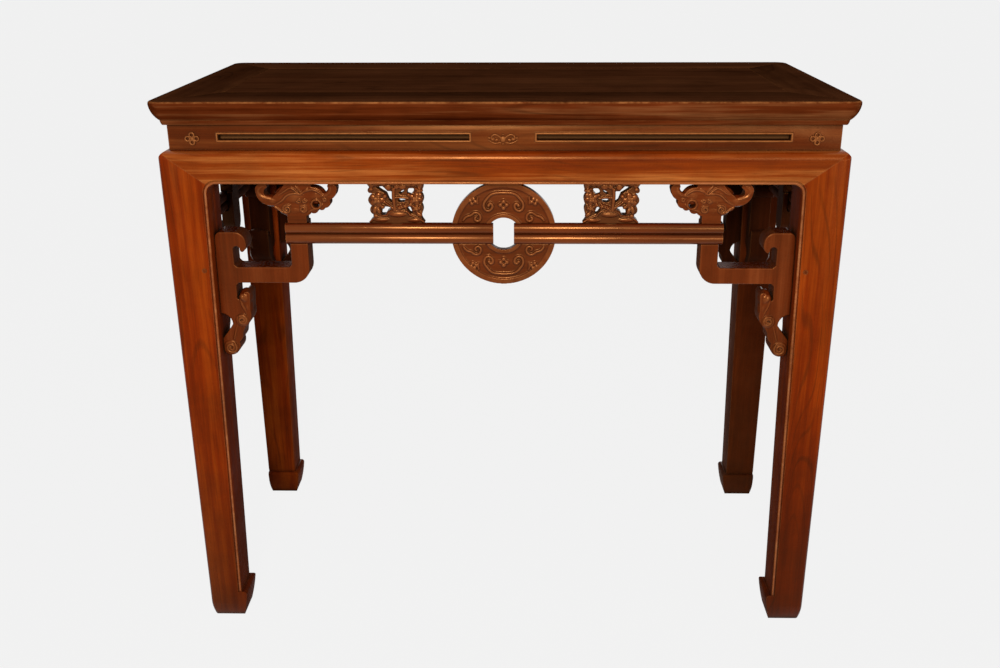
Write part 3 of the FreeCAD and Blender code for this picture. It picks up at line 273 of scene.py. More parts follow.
class Lacquer(Shader):
    """Lacquered hardwood under construction: its place, its facing and the patterns of its grain."""

    def __init__(self, name, along, shift):
        super().__init__(name)
        self.place = self.node("TexCoord").outputs["Object"]
        geometry = self.node("NewGeometry").outputs
        self.normal = geometry["Normal"]
        self.keen = geometry["Pointiness"]
        grain = self.drawn_out(along, shift, GRAIN_SQUEEZE)
        fibre = self.drawn_out(along, shift, FIBRE_SQUEEZE)
        field = self.noise(grain, FIGURE_SCALE, 1.0, 0.4, 0.2)
        lines = self.ramp(self.math("SINE", self.times(field, FIGURE_LINES)), 0.72, 1.0)
        patches = self.ramp(self.noise(self.place, FIGURE_PATCHES, 2.0, 0.5), 0.45, 0.64)
        self.lines = self.times(lines, patches)
        self.streaks = self.noise(fibre, STREAK_SCALE, 2.0, 0.55)
        self.strands = self.noise(fibre, STRAND_SCALE, 3.0, 0.6)
        self.pores = self.ramp(self.noise(fibre, PORE_SCALE, 2.0, 0.5), 0.30, 0.42)
        self.cloud = self.noise(grain, CLOUD_SCALE, 4.0, 0.6)
        self.patina = self.noise(self.place, PATINA_SCALE, 5.0, 0.62)

    def drawn_out(self, along, shift, squeeze):
        """Place squeezed along the grain, so that a pattern on it is drawn out."""
        scale = [1.0, 1.0, 1.0]
        scale["XYZ".index(along)] = squeeze
        inputs = {"Vector": self.place, "Location": shift, "Scale": scale}
        return self.node("Mapping", inputs).outputs[0]

    def from_middle(self, axis):
        return self.math("ABSOLUTE", self.parts(self.place)["XYZ".index(axis)])

    def three_tones(self, blend, tones):
        low = self.mix(self.ramp(blend, 0.22, 0.50), rgba(tones[0]), rgba(tones[1]))
        return self.mix(self.ramp(blend, 0.50, 0.82), low, rgba(tones[2]))

    def grained(self, tones, upper_tones):
        """Streaks of three tones; a face that looks up has its own, and a chipped pale rim that is wear and
        a painted highlight.
        """
        blend = self.times(self.ramp(self.streaks, 0.30, 0.70), STREAK_SHARE)
        blend = self.plus(blend, self.times(self.ramp(self.strands, 0.25, 0.75), STRAND_SHARE))
        blend = self.plus(blend, self.times(self.ramp(self.cloud, 0.32, 0.70), CLOUD_SHARE))
        colour = self.three_tones(blend, tones)
        if not upper_tones:
            return colour
        upward = self.parts(self.normal)[2]
        colour = self.mix(self.ramp(upward, 0.80, 0.98), colour, self.three_tones(blend, upper_tones))
        # Wear and painted highlight: a chipped pale line on the rounded arris of the top
        rub_and_highlight = self.times(self.ramp(upward, 0.30, 0.60), self.ramp(upward, 0.99, 0.90))
        chips = self.ramp(self.noise(self.place, CHIP_SCALE, 4.0, 0.7), 0.38, 0.60, 0.10, 0.85)
        return self.mix(self.times(rub_and_highlight, chips), colour, WEAR_AND_HIGHLIGHT_COLOUR)

    def aged(self, colour, figure):
        """Patches of patina, dark growth lines and dark pores."""
        shade = self.ramp(self.patina, 0.30, 0.70, 0.76, 1.18)
        colour = self.mix(1.0, colour, self.grey(shade), "MULTIPLY")
        colour = self.mix(self.times(self.lines, LINE_STRENGTH * figure), colour, DIRT_AND_SHADE_COLOUR)
        filled = self.times(self.math("SUBTRACT", 1.0, self.pores), PORE_STRENGTH)
        return self.mix(filled, colour, DIRT_AND_SHADE_COLOUR)

    def carving_wear_highlight_and_shade(self, colour, hollow, relief, grime_and_shade, worn):
        """Carving rubbed pale on its heights and its keen edges, as wear and painted highlight, and darkened
        in its depths and grooves, as soiling and painted shade.
        """
        axis, deep, plain, high = relief
        distance = self.from_middle(axis)
        facing_out = self.math("ABSOLUTE", self.parts(self.normal)["XYZ".index(axis)])
        rub_and_highlight = self.times(self.ramp(distance, plain, high), self.ramp(facing_out, 0.35, 0.85))
        uneven = self.ramp(self.noise(self.place, RUB_SCALE, 2.0, 0.6), 0.30, 0.60, 0.35, 1.0)
        # Wear and painted highlight: heights facing out made pale
        colour = self.mix(self.times(self.times(rub_and_highlight, uneven), worn), colour, WEAR_AND_HIGHLIGHT_COLOUR)
        # Soiling and painted shade: the carving darkens toward its depths
        colour = self.mix(self.ramp(distance, plain, deep, 0.0, grime_and_shade), colour, DIRT_AND_SHADE_COLOUR)
        edge = self.times(self.ramp(self.keen, 0.510, 0.570), self.ramp(hollow, 0.45, 0.80))
        # Wear and painted highlight: keen edges out of the hollows made pale
        colour = self.mix(self.times(edge, 0.6 * worn), colour, WEAR_AND_HIGHLIGHT_COLOUR)
        # Painted shade: concave grooves beside the strands darkened
        return self.mix(self.ramp(self.keen, 0.496, 0.455, 0.0, 0.92), colour, DIRT_AND_SHADE_COLOUR)

    def arris_wear_and_highlight(self, colour, hollow, worn):
        """Straight arrises rubbed pale in a ragged line: wear and a painted highlight."""
        soft = self.node("Bevel", {"Radius": ARRIS_REACH}, samples=4).outputs[0]
        turn = self.node("VectorMath", {0: soft, 1: self.normal}, operation="DOT_PRODUCT")
        # Wear and painted highlight: a pale line where the arris turns
        edge = self.ramp(turn.outputs["Value"], 0.985, 0.90)
        edge = self.times(edge, self.ramp(hollow, 0.55, 0.80))
        ragged = self.ramp(self.noise(self.place, RAGGED_SCALE, 3.0, 0.65), 0.36, 0.66, 0.15, 1.0)
        return self.mix(self.times(self.times(edge, ragged), worn), colour, WEAR_AND_HIGHLIGHT_COLOUR)

    def inward(self):
        """One on faces turned to the table's middle, which were never polished and are painted darker as
        shade.
        """
        flat = self.node("VectorMath", {0: self.place, 1: (1, 1, 0)}, operation="MULTIPLY")
        inputs = {0: flat.outputs["Vector"], 1: self.normal}
        facing = self.node("VectorMath", inputs, operation="DOT_PRODUCT").outputs["Value"]
        return self.ramp(facing, -0.004, -0.030)

    def dents(self, smear, strength):
        height = self.plus(self.times(self.strands, 0.6), self.times(self.pores, 0.5))
        height = self.plus(height, self.times(smear, 1.4))
        height = self.plus(height, self.times(self.lines, -0.5))
        inputs = {"Strength": strength, "Distance": DENT_DEPTH, "Height": height}
        return self.node("Bump", inputs).outputs[0]


def wood(name, tones, along, shift=(0, 0, 0), gloss=0.25, bump=0.3, worn=0.6, upper_tones=None,
         shine=0.40, figure=1.0, relief=None, grime_and_shade=0.5, shaded_recess=None, shaded_foot=False):
    """Lacquered hardwood in three tones, with its grain along an axis.

    relief names an axis and three distances from the table's middle: carving is darkened with soiling and
    painted shade at the first, plain at the second and rubbed pale with wear and a painted highlight at the
    third. recess names an axis and two distances: what lies back at the first is painted nearly black, as
    shade.
    """
    lacquer = Lacquer(name, along, shift)
    colour = lacquer.aged(lacquer.grained(tones, upper_tones), figure)
    reach = CARVED_HOLLOW if relief else PLAIN_HOLLOW
    hollow = lacquer.node("AmbientOcclusion", {"Distance": reach}, samples=6).outputs["AO"]
    if relief:
        # Carving: wear and painted highlight on its heights, soiling and painted shade in its depths
        colour = lacquer.carving_wear_highlight_and_shade(colour, hollow, relief, grime_and_shade, worn)
    else:
        # Plain members: arrises made pale with wear and a painted highlight, as strong as worn says
        colour = lacquer.arris_wear_and_highlight(colour, hollow, worn)
    # Soiling and painted shade: occluded crevices darkened, and made rougher
    crevice_dirt_and_shade = lacquer.ramp(hollow, 0.30, 0.90, 0.94, 0.0)
    colour = lacquer.mix(crevice_dirt_and_shade, colour, DIRT_AND_SHADE_COLOUR)
    if shaded_recess:
        axis, deep, plain = shaded_recess
        # Painted shade: what lies back in the waist's slots is painted nearly black
        sunk = lacquer.ramp(lacquer.from_middle(axis), plain, deep)
        colour = lacquer.mix(sunk, colour, DIRT_AND_SHADE_COLOUR)
    inner = lacquer.inward()
    # Painted shade: faces turned to the table's middle darkened
    colour = lacquer.mix(lacquer.times(inner, INWARD_SHADE), colour, DIRT_AND_SHADE_COLOUR)
    if shaded_foot:
        # Painted shade: the legs darken toward the floor, where the light falls off
        height = lacquer.parts(lacquer.place)[2]
        low_down = lacquer.plus(height, lacquer.times(lacquer.patina, 0.20))
        colour = lacquer.mix(lacquer.ramp(low_down, 0.50, 0.10, 0.0, FOOT_SHADE), colour, DIRT_AND_SHADE_COLOUR)

    smear = lacquer.noise(lacquer.place, SMEAR_SCALE, 3.0, 0.6)
    rough = lacquer.ramp(smear, 0.25, 0.75, gloss - 0.06, gloss + 0.10)
    rough = lacquer.plus(rough, lacquer.times(crevice_dirt_and_shade, 0.25))
    rough = lacquer.math("ADD", rough, lacquer.times(inner, 0.65), clamp=True)
    surface = lacquer.node("BsdfPrincipled", {
        "Base Color": colour,
        "Roughness": rough,
        "Normal": lacquer.dents(smear, bump),
        "Specular IOR Level": shine,
        "Specular Tint": WARM_SHINE,
    })
    return lacquer.finish(surface.outputs[0])


def floor_paint():
    """Pale paper: the camera sees it near white with the table's shadow, other light a duller sheet."""
    shader = Shader("floor_paper")
    place = shader.node("TexCoord").outputs["Object"]
    tooth = shader.noise(place, PAPER_TOOTH, 2.0, 0.5)
    inputs = {"Strength": 0.02, "Distance": 0.0005, "Height": tooth}
    dent = shader.node("Bump", inputs).outputs[0]
    dull = shader.node("BsdfDiffuse", {"Color": PAPER_DULL, "Normal": dent}).outputs[0]
    pale = shader.node("BsdfDiffuse", {"Color": PAPER_SHADOW, "Normal": dent}).outputs[0]
    glow = shader.node("Emission", {"Color": PAPER_WHITE, "Strength": SEEN_PAPER}).outputs[0]
    seen = shader.node("AddShader", {0: pale, 1: glow}).outputs[0]
    path = shader.node("LightPath").outputs
    looks = shader.math("MAXIMUM", path["Is Camera Ray"], path["Is Glossy Ray"])
    looks = shader.math("MAXIMUM", looks, path["Is Transmission Ray"])
    return shader.finish(shader.node("MixShader", {0: looks, 1: dull, 2: seen}).outputs[0])


def add_floor():
    bpy.ops.mesh.primitive_plane_add(size=2 * FLOOR_HALF, location=(0, 0, cad_box[0][2]))
    floor = bpy.context.object
    floor.name = "studio_floor"
    floor.data.materials.append(floor_paint())


def add_world():
    """Soft light all round; the camera and reflections see pale paper there instead."""
    world = bpy.data.worlds.new("studio")
    world.use_nodes = True
    bpy.context.scene.world = world
    tree = world.node_tree
    background = tree.nodes["Background"]
    background.inputs["Color"].default_value = WORLD_COLOUR
    background.inputs["Strength"].default_value = WORLD_STRENGTH
    seen = tree.nodes.new("ShaderNodeBackground")
    seen.inputs["Color"].default_value = PAPER_WHITE
    seen.inputs["Strength"].default_value = SEEN_PAPER
    path = tree.nodes.new("ShaderNodeLightPath")
    looks = path.outputs["Is Camera Ray"]
    for ray in ("Is Glossy Ray", "Is Transmission Ray"):
        either = tree.nodes.new("ShaderNodeMath")
        either.operation = "MAXIMUM"
        tree.links.new(looks, either.inputs[0])
        tree.links.new(path.outputs[ray], either.inputs[1])
        looks = either.outputs[0]
    choice = tree.nodes.new("ShaderNodeMixShader")
    tree.links.new(looks, choice.inputs[0])
    tree.links.new(background.outputs[0], choice.inputs[1])
    tree.links.new(seen.outputs[0], choice.inputs[2])
    tree.links.new(choice.outputs[0], tree.nodes["World Output"].inputs["Surface"])


def add_lamps():
    for name, place, size, power in LAMPS:
        bpy.ops.object.light_add(type="AREA", location=place)
        lamp = bpy.context.object
        lamp.name = name
        lamp.data.shape = "SQUARE"
        lamp.data.size = size
        lamp.data.energy = power
        lamp.data.color = LAMP_COLOUR
        lamp.rotation_euler = (LAMP_TARGET - Vector(place)).to_track_quat("-Z", "Y").to_euler()


def select_only(piece, *others):
    bpy.ops.object.select_all(action="DESELECT")
    for other in others:
        other.select_set(True)
    piece.select_set(True)
    bpy.context.view_layer.objects.active = piece


def apply_modifiers(piece):
    select_only(piece)
    for modifier in list(piece.modifiers):
        bpy.ops.object.modifier_apply(modifier=modifier.name)


def apply_turn(piece):
    select_only(piece)
    bpy.ops.object.transform_apply(location=True, rotation=True, scale=True)


def join(pieces):
    select_only(*pieces)
    bpy.ops.object.join()
    return bpy.context.object


def turn_outward(piece):
    """Turn every face of a mirrored piece outward again."""
    select_only(piece)
    bpy.ops.object.mode_set(mode="EDIT")
    bpy.ops.mesh.select_all(action="SELECT")
    bpy.ops.mesh.normals_make_consistent(inside=False)
    bpy.ops.mesh.select_all(action="DESELECT")
    bpy.ops.object.mode_set(mode="OBJECT")


def merged_copy(node, name):
    """A piece with the node's shape, its loose triangles merged into one clean mesh."""
    piece = bpy.data.objects.new(name, nodes[node].data.copy())
    bpy.context.scene.collection.objects.link(piece)
    select_only(piece)
    bpy.ops.object.mode_set(mode="EDIT")
    bpy.ops.mesh.select_all(action="SELECT")
    bpy.ops.mesh.remove_doubles(threshold=MERGE_REACH)
    bpy.ops.mesh.dissolve_limited(angle_limit=FLAT_ANGLE)
    bpy.ops.mesh.select_all(action="DESELECT")
    bpy.ops.object.mode_set(mode="OBJECT")
    return piece


def sink_face(piece, axis, depth):
    """Cut the blank's outer face back by a depth, as the ground round raised carving."""
    index = "XYZ".index(axis)
    face = min(vertex.co[index] for vertex in piece.data.vertices)
    select_only(piece)
    bpy.ops.object.mode_set(mode="EDIT")
    bpy.ops.mesh.select_mode(type="VERT")
    bpy.ops.mesh.select_all(action="DESELECT")
    bpy.ops.object.mode_set(mode="OBJECT")
    for vertex in piece.data.vertices:
        vertex.select = vertex.co[index] < face + depth / 2
    bpy.ops.object.mode_set(mode="EDIT")
    bpy.ops.transform.translate(value=[depth if place == index else 0 for place in range(3)])
    bpy.ops.mesh.select_all(action="DESELECT")
    bpy.ops.object.mode_set(mode="OBJECT")


def settle(piece, material, slot, *replaced):
    """Paint a finished piece, let it ride with the table and take its node's place."""
    piece.data.materials.clear()
    piece.data.materials.append(material)
    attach(piece, "root")
    if replaced:
        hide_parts(*replaced)


def eased(node, material, slot, width):
    """Member with every arris eased by hand and worn round."""
    piece = merged_copy(node, node + "_eased")
    bevel = piece.modifiers.new("ease", "BEVEL")
    bevel.width = width
    bevel.segments = EASE_SEGMENTS
    bevel.limit_method = "ANGLE"
    bevel.angle_limit = ARRIS_ANGLE
    apply_modifiers(piece)
    bpy.ops.object.shade_smooth_by_angle(angle=MEMBER_ANGLE)
    settle(piece, material, slot, node)
    return piece


def paint(node, material):
    nodes[node].data.materials.clear()
    nodes[node].data.materials.append(material)


# Carving: strokes are drawn on a flat face seen from the front, in mm across, up and back from it

def bead(points, thickness, taper=()):
    """Raised round strand carved along points, thinner toward its ends where a taper is given."""
    bpy.ops.curve.primitive_nurbs_path_add(location=(0, 0, 0))
    strand = bpy.context.object
    curve = strand.data
    curve.splines.clear()
    line = curve.splines.new("NURBS")
    line.points.add(len(points) - 1)
    for spot, (across, up, back) in zip(line.points, points):
        spot.co = (across * MM, back * MM, up * MM, 1)
    for index, share in enumerate(taper):
        line.points[index].radius = share
        line.points[-1 - index].radius = share
    line.order_u = 3
    line.use_endpoint_u = True
    line.resolution_u = STRAND_STEPS
    curve.dimensions = "3D"
    curve.bevel_depth = thickness * MM
    curve.bevel_resolution = STRAND_ROUNDS
    curve.use_fill_caps = True
    select_only(strand)
    bpy.ops.object.convert(target="MESH")
    return bpy.context.object


def lump(across, up, back, wide, deep, tall, turn=0.0):
    """Swelling of wood: a ball stretched across, in depth and up, and turned in the face."""
    bpy.ops.mesh.primitive_uv_sphere_add(segments=BALL_SEGMENTS, ring_count=BALL_RINGS, radius=1.0)
    ball = bpy.context.object
    ball.scale = (wide * MM, deep * MM, tall * MM)
    ball.rotation_euler = (0, turn, 0)
    ball.location = (across * MM, back * MM, up * MM)
    apply_turn(ball)
    return ball


def laid(points, ground, swells=()):
    """Points of a strand laid on the ground of a face, and over the swellings that it crosses."""
    placed = []
    for across, up in points:
        depth = ground
        for swell_across, swell_up, back, wide, deep, tall in swells:
            share = ((across - swell_across) / wide) ** 2 + ((up - swell_up) / tall) ** 2
            if share < 1:
                depth = min(depth, back - deep * math.sqrt(1 - share))
        placed.append((across, up, depth))
    return placed


def spiral(across, up, outer, inner, turns, start, spin):
    """Points of a scroll that winds in to its eye."""
    count = int(turns * TURN_POINTS) + 1
    points = []
    for index in range(count):
        share = index / (count - 1)
        reach = outer + (inner - outer) * share
        angle = start + spin * share * turns * 2 * math.pi
        points.append((across + reach * math.cos(angle), up + reach * math.sin(angle)))
    return points


def seat(strokes, place, mirrored=False, quarters=0):
    """Bring strokes from the drawing face to their place: mirrored first, then turned by quarters."""
    piece = join(strokes)
    piece.scale = (-1 if mirrored else 1, 1, 1)
    piece.rotation_euler = (0, 0, quarters * math.pi / 2)
    piece.location = place
    apply_turn(piece)
    turn_outward(piece)
    return piece


def carve(node, name, strokes, material, grit, smooth, twins=(), sunk=()):
    """Carved piece: the node's blank with its strokes grown together and worn soft, and its mirror twins."""
    piece = merged_copy(node, name)
    if sunk:
        sink_face(piece, *sunk)
    piece = join([piece, strokes])
    skin = piece.modifiers.new("skin", "REMESH")
    skin.mode = "VOXEL"
    skin.voxel_size = grit * MM
    soften = piece.modifiers.new("soften", "SMOOTH")
    soften.factor = 0.5
    soften.iterations = smooth
    apply_modifiers(piece)
    bpy.ops.object.shade_smooth()
    for twin_node, twin_name, across, deep in twins:
        twin = piece.copy()
        twin.data = piece.data.copy()
        twin.name = twin_name
        bpy.context.scene.collection.objects.link(twin)
        twin.scale = (across, deep, 1)
        apply_turn(twin)
        turn_outward(twin)
        settle(twin, material, "carved_wood", twin_node)
    settle(piece, material, "carved_wood", node)
    return piece


# Disc: cloud scrolls and blossoms, in mm from its middle
DISC_MIDDLE = 649.0
DISC_DEPTH = 1.4
ARCH_LINE = 2.1
SCROLL_LINE = 2.0
STEM_LINE = 1.6
ARCH = (
    (9, 60.8), (17, 59.0), (22.0, 54.5), (23.4, 52.4), (27.5, 47.5), (29.0, 41.7), (27.0, 35.8),
    (22.2, 33.4), (17.4, 36.4), (15.4, 41.0), (16.8, 44.8), (20.4, 45.6), (21.8, 42.2),
)
ARCH_EYE = (21.5, 42.0)
EYE_SWELL = (2.6, 2.4, 2.6)
SCROLL = (
    (59, 18.5), (57.5, 22), (53.0, 26.2), (47.4, 27.0), (42.4, 31.8), (36.4, 31.2), (32.8, 26.0),
    (33.8, 20.4), (38.0, 18.4), (41.6, 21.2), (41.4, 25.0), (38.2, 25.4),
)
SPRIG_BUDS = ((40.5, 47.5), (45.5, 44.5), (43.0, 51.5), (48.0, 49.0))
SPRIG_SWELL = (2.9, 2.2, 2.9)
SPRIG_STEM = ((37.0, 44.0), (38.5, 50), (36.5, 54.5))
BLOSSOM_UP = 43.0
BLOSSOM_PETALS = ((4.6, 0), (-4.6, 0), (0, 4.8), (0, -4.8))
BLOSSOM_SWELL = (3.3, 2.5, 3.3)


def flipped(points, across_sign, up_sign):
    return [(across_sign * across, up_sign * up) for across, up in points]


def disc_strokes():
    strokes = []
    for sky in (1, -1):
        arch = flipped(reversed(ARCH), -1, sky) + flipped(ARCH, 1, sky)
        strokes.append(bead(laid(arch, DISC_DEPTH), ARCH_LINE, (0.7,)))
        for side in (1, -1):
            strokes.append(bead(laid(flipped(SCROLL, side, sky), DISC_DEPTH), SCROLL_LINE, (0.7,)))
            strokes.append(lump(side * ARCH_EYE[0], sky * ARCH_EYE[1], DISC_DEPTH, *EYE_SWELL))
            for across, up in flipped(SPRIG_BUDS, side, sky):
                strokes.append(lump(across, up, DISC_DEPTH, *SPRIG_SWELL))
            strokes.append(bead(laid(flipped(SPRIG_STEM, side, sky), DISC_DEPTH), STEM_LINE))
        for across, up in BLOSSOM_PETALS:
            strokes.append(lump(across, sky * BLOSSOM_UP + up, DISC_DEPTH, *BLOSSOM_SWELL))
    return seat(strokes, (0, -FRONT_WORK, DISC_MIDDLE * MM))


# Ruyi head, in mm toward the leg from the middle of its stem and up from the floor
HEAD_PLACE = 299.6
EYE = (-29.2, 692.7)
EYE_REACH = 7.0
EYE_LINE = 1.6
# Swellings: across, up, back, wide, deep and tall
HEAD_SWELLS = (
    (2, 703, 7.0, 30, 8.1, 19),
    (-29, 704, 6.0, 17, 6.8, 13),
    (2, 683, 6.0, 24, 6.7, 10),
    (34, 697, 6.0, 14, 6.8, 9),
)
# Raised lines: their points across and up, and their thickness
HEAD_LINES = (
    (((30, 692), (23, 695.5), (18.5, 699), (14, 704.5), (8, 708), (-1.6, 709.2), (-9, 706.5)), 1.5),
    (((24, 706), (12, 714), (6, 717.5), (-1, 712), (-7, 706.5), (-12, 711), (-18, 716)), 1.4),
    (((-1, 719), (-7, 712), (-12, 706)), 1.3),
    (((-11, 709.5), (-17.5, 713.5), (-26, 714.5), (-34, 711), (-40, 705)), 1.5),
    (((31, 689), (24, 684), (20, 680.5), (13, 677.8)), 1.2),
    (((-16, 679.5), (-21, 684.5), (-27, 684.5), (-34, 687.5), (-39, 693)), 1.2),
)
# Curls: across, up, outer and inner reach, turns, start, spin and thickness
HEAD_CURLS = (
    (13.4, 685.2, 7.4, 1.4, 1.7, 2.4, -1, 1.45),
    (-10.2, 685.2, 6.2, 1.2, 1.7, 0.8, 1, 1.35),
    (-4.8, 697.6, 3.4, 1.0, 1.1, 0.0, -1, 1.2),
    (-12.4, 697.8, 3.4, 1.0, 1.1, 3.1, 1, 1.2),
    (-41.6, 699.0, 3.2, 1.0, 1.1, 0.5, 1, 1.2),
)
# Horns: points, depth and thickness
HEAD_HORNS = (
    (((30, 698.5), (38.2, 700.0), (49.5, 703.2), (54.3, 710.8), (50.5, 717.5), (43, 720)), 4.0, 5.0),
    (((-30, 704.5), (-37, 704.8), (-46, 706), (-52.3, 713), (-50.5, 719.5)), 3.6, 4.6),
)


def head_strokes():
    strokes = [lump(*swell) for swell in HEAD_SWELLS]
    for points, thickness in HEAD_LINES:
        strokes.append(bead(laid(points, 0, HEAD_SWELLS), thickness, (0.5,)))
    for across, up, outer, inner, turns, start, spin, thickness in HEAD_CURLS:
        curl = spiral(across, up, outer, inner, turns, start, spin)
        strokes.append(bead(laid(curl, 0, HEAD_SWELLS), thickness))
    ring = spiral(EYE[0], EYE[1], EYE_REACH, EYE_REACH, 1.0, 0.0, 1)
    strokes.append(bead(laid(ring, 0, HEAD_SWELLS), EYE_LINE))
    for points, depth, thickness in HEAD_HORNS:
        strokes.append(bead(laid(points, depth), thickness, (0.8,)))
    return strokes


# Flower block, in mm across from its middle and up from the floor: blooms, leaves, canes and mound
FLOWER_PLACE = -155.25
FLOWER_SUNK = 2.6
# Blooms: across, up and reach
BLOOMS = (
    (-27.0, 698.6, 11.0), (28.5, 700.0, 9.5), (29.0, 686.5, 6.5), (13.4, 689.8, 4.6), (33.5, 712.5, 6.0),
    (5.0, 687.0, 4.2),
)
# Rings of petals of a bloom: how many, how far out, how large and how deep
PETAL_RINGS = ((5, 0.60, 0.50, 2.6), (4, 0.27, 0.32, 1.3))
PETAL_SWELL = 2.4
PETAL_LENGTHENED = 0.82
HEART_SHARE = 0.17
HEART_DEPTH = 0.6
HEART_SWELL = 1.6
# Leaves: across, up, wide, tall and turned
LEAVES = (
    (-35.0, 714.5, 3.4, 3.0, 0.4), (-35.5, 721.0, 5.5, 3.2, 0.6), (-26.5, 722.0, 6.0, 2.8, -0.3),
    (-18.5, 722.0, 5.0, 3.0, 0.3), (-10.5, 718.0, 5.0, 5.4, 0.0), (-4.5, 722.5, 4.5, 3.0, 0.2),
    (2.0, 719.0, 4.4, 4.6, 0.3), (10.5, 719.0, 6.0, 5.2, -0.2), (18.5, 721.5, 4.6, 3.6, 0.4),
    (27.0, 721.5, 5.5, 3.2, -0.3), (35.0, 720.5, 4.0, 4.6, 0.2), (35.2, 706.0, 3.2, 4.0, 0.3),
    (-30.5, 684.5, 3.6, 6.4, 0.25), (-25.0, 683.0, 3.0, 5.6, -0.25), (-29.5, 675.5, 4.0, 3.2, 0.0),
    (-19.5, 688.5, 3.6, 3.0, 0.6), (33.5, 677.5, 5.2, 3.4, 0.6), (21.0, 691.5, 3.4, 3.0, -0.6),
    (-15.5, 704.0, 3.2, 3.6, 0.7), (19.0, 706.2, 3.4, 2.6, 0.3),
)
LEAF_DEPTH = 2.4
LEAF_SWELL = 2.8
CANES = (
    (((-1.5, 682), (-2.2, 692), (-3.4, 704), (-2.6, 716)), 2.7),
    (((-3.0, 685), (-9.5, 690.5), (-17.0, 696)), 1.9),
    (((-1.0, 702.0), (8, 703.0), (19, 701)), 1.9),
    (((1.5, 686), (8, 690), (17, 694)), 1.5),
    (((35.5, 692), (31, 684), (38, 679)), 0.9),
)
CANE_DEPTH = 2.6
MOUND_LINES = (
    ((-39, 665.6), (-33.5, 671.0), (-26, 674.2), (-16, 675.5), (-12.5, 676.5)),
    ((-14.5, 674), (-11.5, 680.0), (-5, 682.6), (3, 683.0), (12, 682.6), (17.0, 681.0), (20.5, 676)),
    ((19, 676.5), (26, 674.0), (34, 670.5), (40.5, 665.6)),
)
MOUND_DEPTH = 2.4
MOUND_LINE = 1.5
MOUND_SWELLS = (
    (2, 677.5, 3.4, 14, 3.4, 4.4),
    (-22, 669.5, 3.6, 13, 3.0, 3.6),
    (26, 669.0, 3.6, 12, 3.0, 3.4),
)


def bloom(across, up, reach):
    """Blossom of two rings of petals round a heart."""
    strokes = []
    for ring, (count, out, size, depth) in enumerate(PETAL_RINGS):
        for index in range(count):
            angle = 2 * math.pi * (index + 0.5 * ring) / count
            petal_across = across + out * reach * math.cos(angle)
            petal_up = up + out * reach * math.sin(angle)
            wide = size * reach
            tall = PETAL_LENGTHENED * wide
            strokes.append(lump(petal_across, petal_up, depth, wide, PETAL_SWELL, tall, -angle))
    heart = HEART_SHARE * reach
    strokes.append(lump(across, up, HEART_DEPTH, heart, HEART_SWELL, heart))
    return strokes


def flower_strokes():
    strokes = []
    for across, up, reach in BLOOMS:
        strokes += bloom(across, up, reach)
    for across, up, wide, tall, turn in LEAVES:
        strokes.append(lump(across, up, LEAF_DEPTH, wide, LEAF_SWELL, tall, turn))
    for points, thickness in CANES:
        strokes.append(bead(laid(points, CANE_DEPTH), thickness))
    for points in MOUND_LINES:
        strokes.append(bead(laid(points, MOUND_DEPTH), MOUND_LINE))
    strokes += [lump(*swell) for swell in MOUND_SWELLS]
    return seat(strokes, (FLOWER_PLACE * MM, -FRONT_WORK, 0))


# Scroll bracket, in mm out from the leg and up from the floor
BRACKET_FOOT_X = 424.12
BRACKET_FOOT_Y = 174.12
BOSS_DEPTH = -1.2
# Curls, swellings and veins, written as the head's; a swelling ends with its turn
BRACKET_CURLS = (
    (30.8, 514.8, 8.0, 1.8, 1.7, 2.2, -1, 1.6),
    (10.1, 470.5, 9.2, 2.0, 1.7, 0.9, -1, 1.7),
)
BRACKET_SWELLS = (
    (37.0, 549.5, 12.0, 9.8, 14.2, 12.5, 0.0),
    (34.5, 551.0, 3.0, 5.0, 6.4, 6.5, -0.3),
    (40.0, 535.0, 9.0, 6.5, 10.0, 13.0, -0.1),
)
BRACKET_VEINS = (
    (((29.5, 553, 1.0), (31.0, 541, 0.0), (36.5, 530, 0.0), (38.5, 524, 0.5)), 1.5),
    (((22.5, 508, 0.5), (19.0, 497, 0.0), (15.5, 484, 0.0)), 1.6),
)


def bracket_strokes():
    strokes = []
    for across, up, outer, inner, turns, start, spin, thickness in BRACKET_CURLS:
        curl = spiral(across, up, outer, inner, turns, start, spin)
        strokes.append(bead(laid(curl, BOSS_DEPTH), thickness))
    strokes += [lump(*swell) for swell in BRACKET_SWELLS]
    strokes += [bead(points, thickness, (0.6,)) for points, thickness in BRACKET_VEINS]
    return strokes


# Waist: small motifs laid on the front board, in mm from each one's middle
CORNER_FLOWER = 438.4
FLOWER_HEIGHT = 788.0
LEAF_HEIGHT = 787.2
MOTIF_DEPTH = 0.4
MOTIF_GRIT = 0.4
PETALS = 4
PETAL_ACROSS = 6.2
PETAL_UP = 5.2
PETAL_LOOP = 3.3
PETAL_LINE = 1.5
FLOWER_HEART = (0, 0, MOTIF_DEPTH, 2.8, 2.6, 2.6)
LEAF_HEART = (0, 0, MOTIF_DEPTH, 4.6, 2.4, 5.2)
LEAF_BUDS = (-6.5, 6.8)
BUD_SWELL = (2.2, 1.8, 1.8)
# Swellings of a leaf: how far across and up, how wide, deep and tall, and how far turned
LEAF_SWELLS = ((9.0, -1.0, 3.6, 1.9, 2.6, 0.5), (19.5, 1.5, 2.0, 1.6, 2.6, 0.0))
WING = ((3, 2), (8, 6.5), (14, 6.5), (17, 2.5), (15, -1.0), (12.5, 0.5), (13.5, 2.5))
WING_LINE = 1.9
TAIL = ((2, -4), (8, -6), (14, -5.5), (20.5, -1.5))
TAIL_LINE = 1.8

# Raised frames of the waist's sunk slots, in mm
SLOT_MIDDLE = 790.0
SLOT_HALF_HEIGHT = 4.0
SLOT_NEAR = 47.5
SLOT_FAR = 401.5
SLOT_EDGE = 1.5
SLOT_CORNER = 1.2
SLOT_STRAND = 1.3
SLOT_DEPTH = -0.9


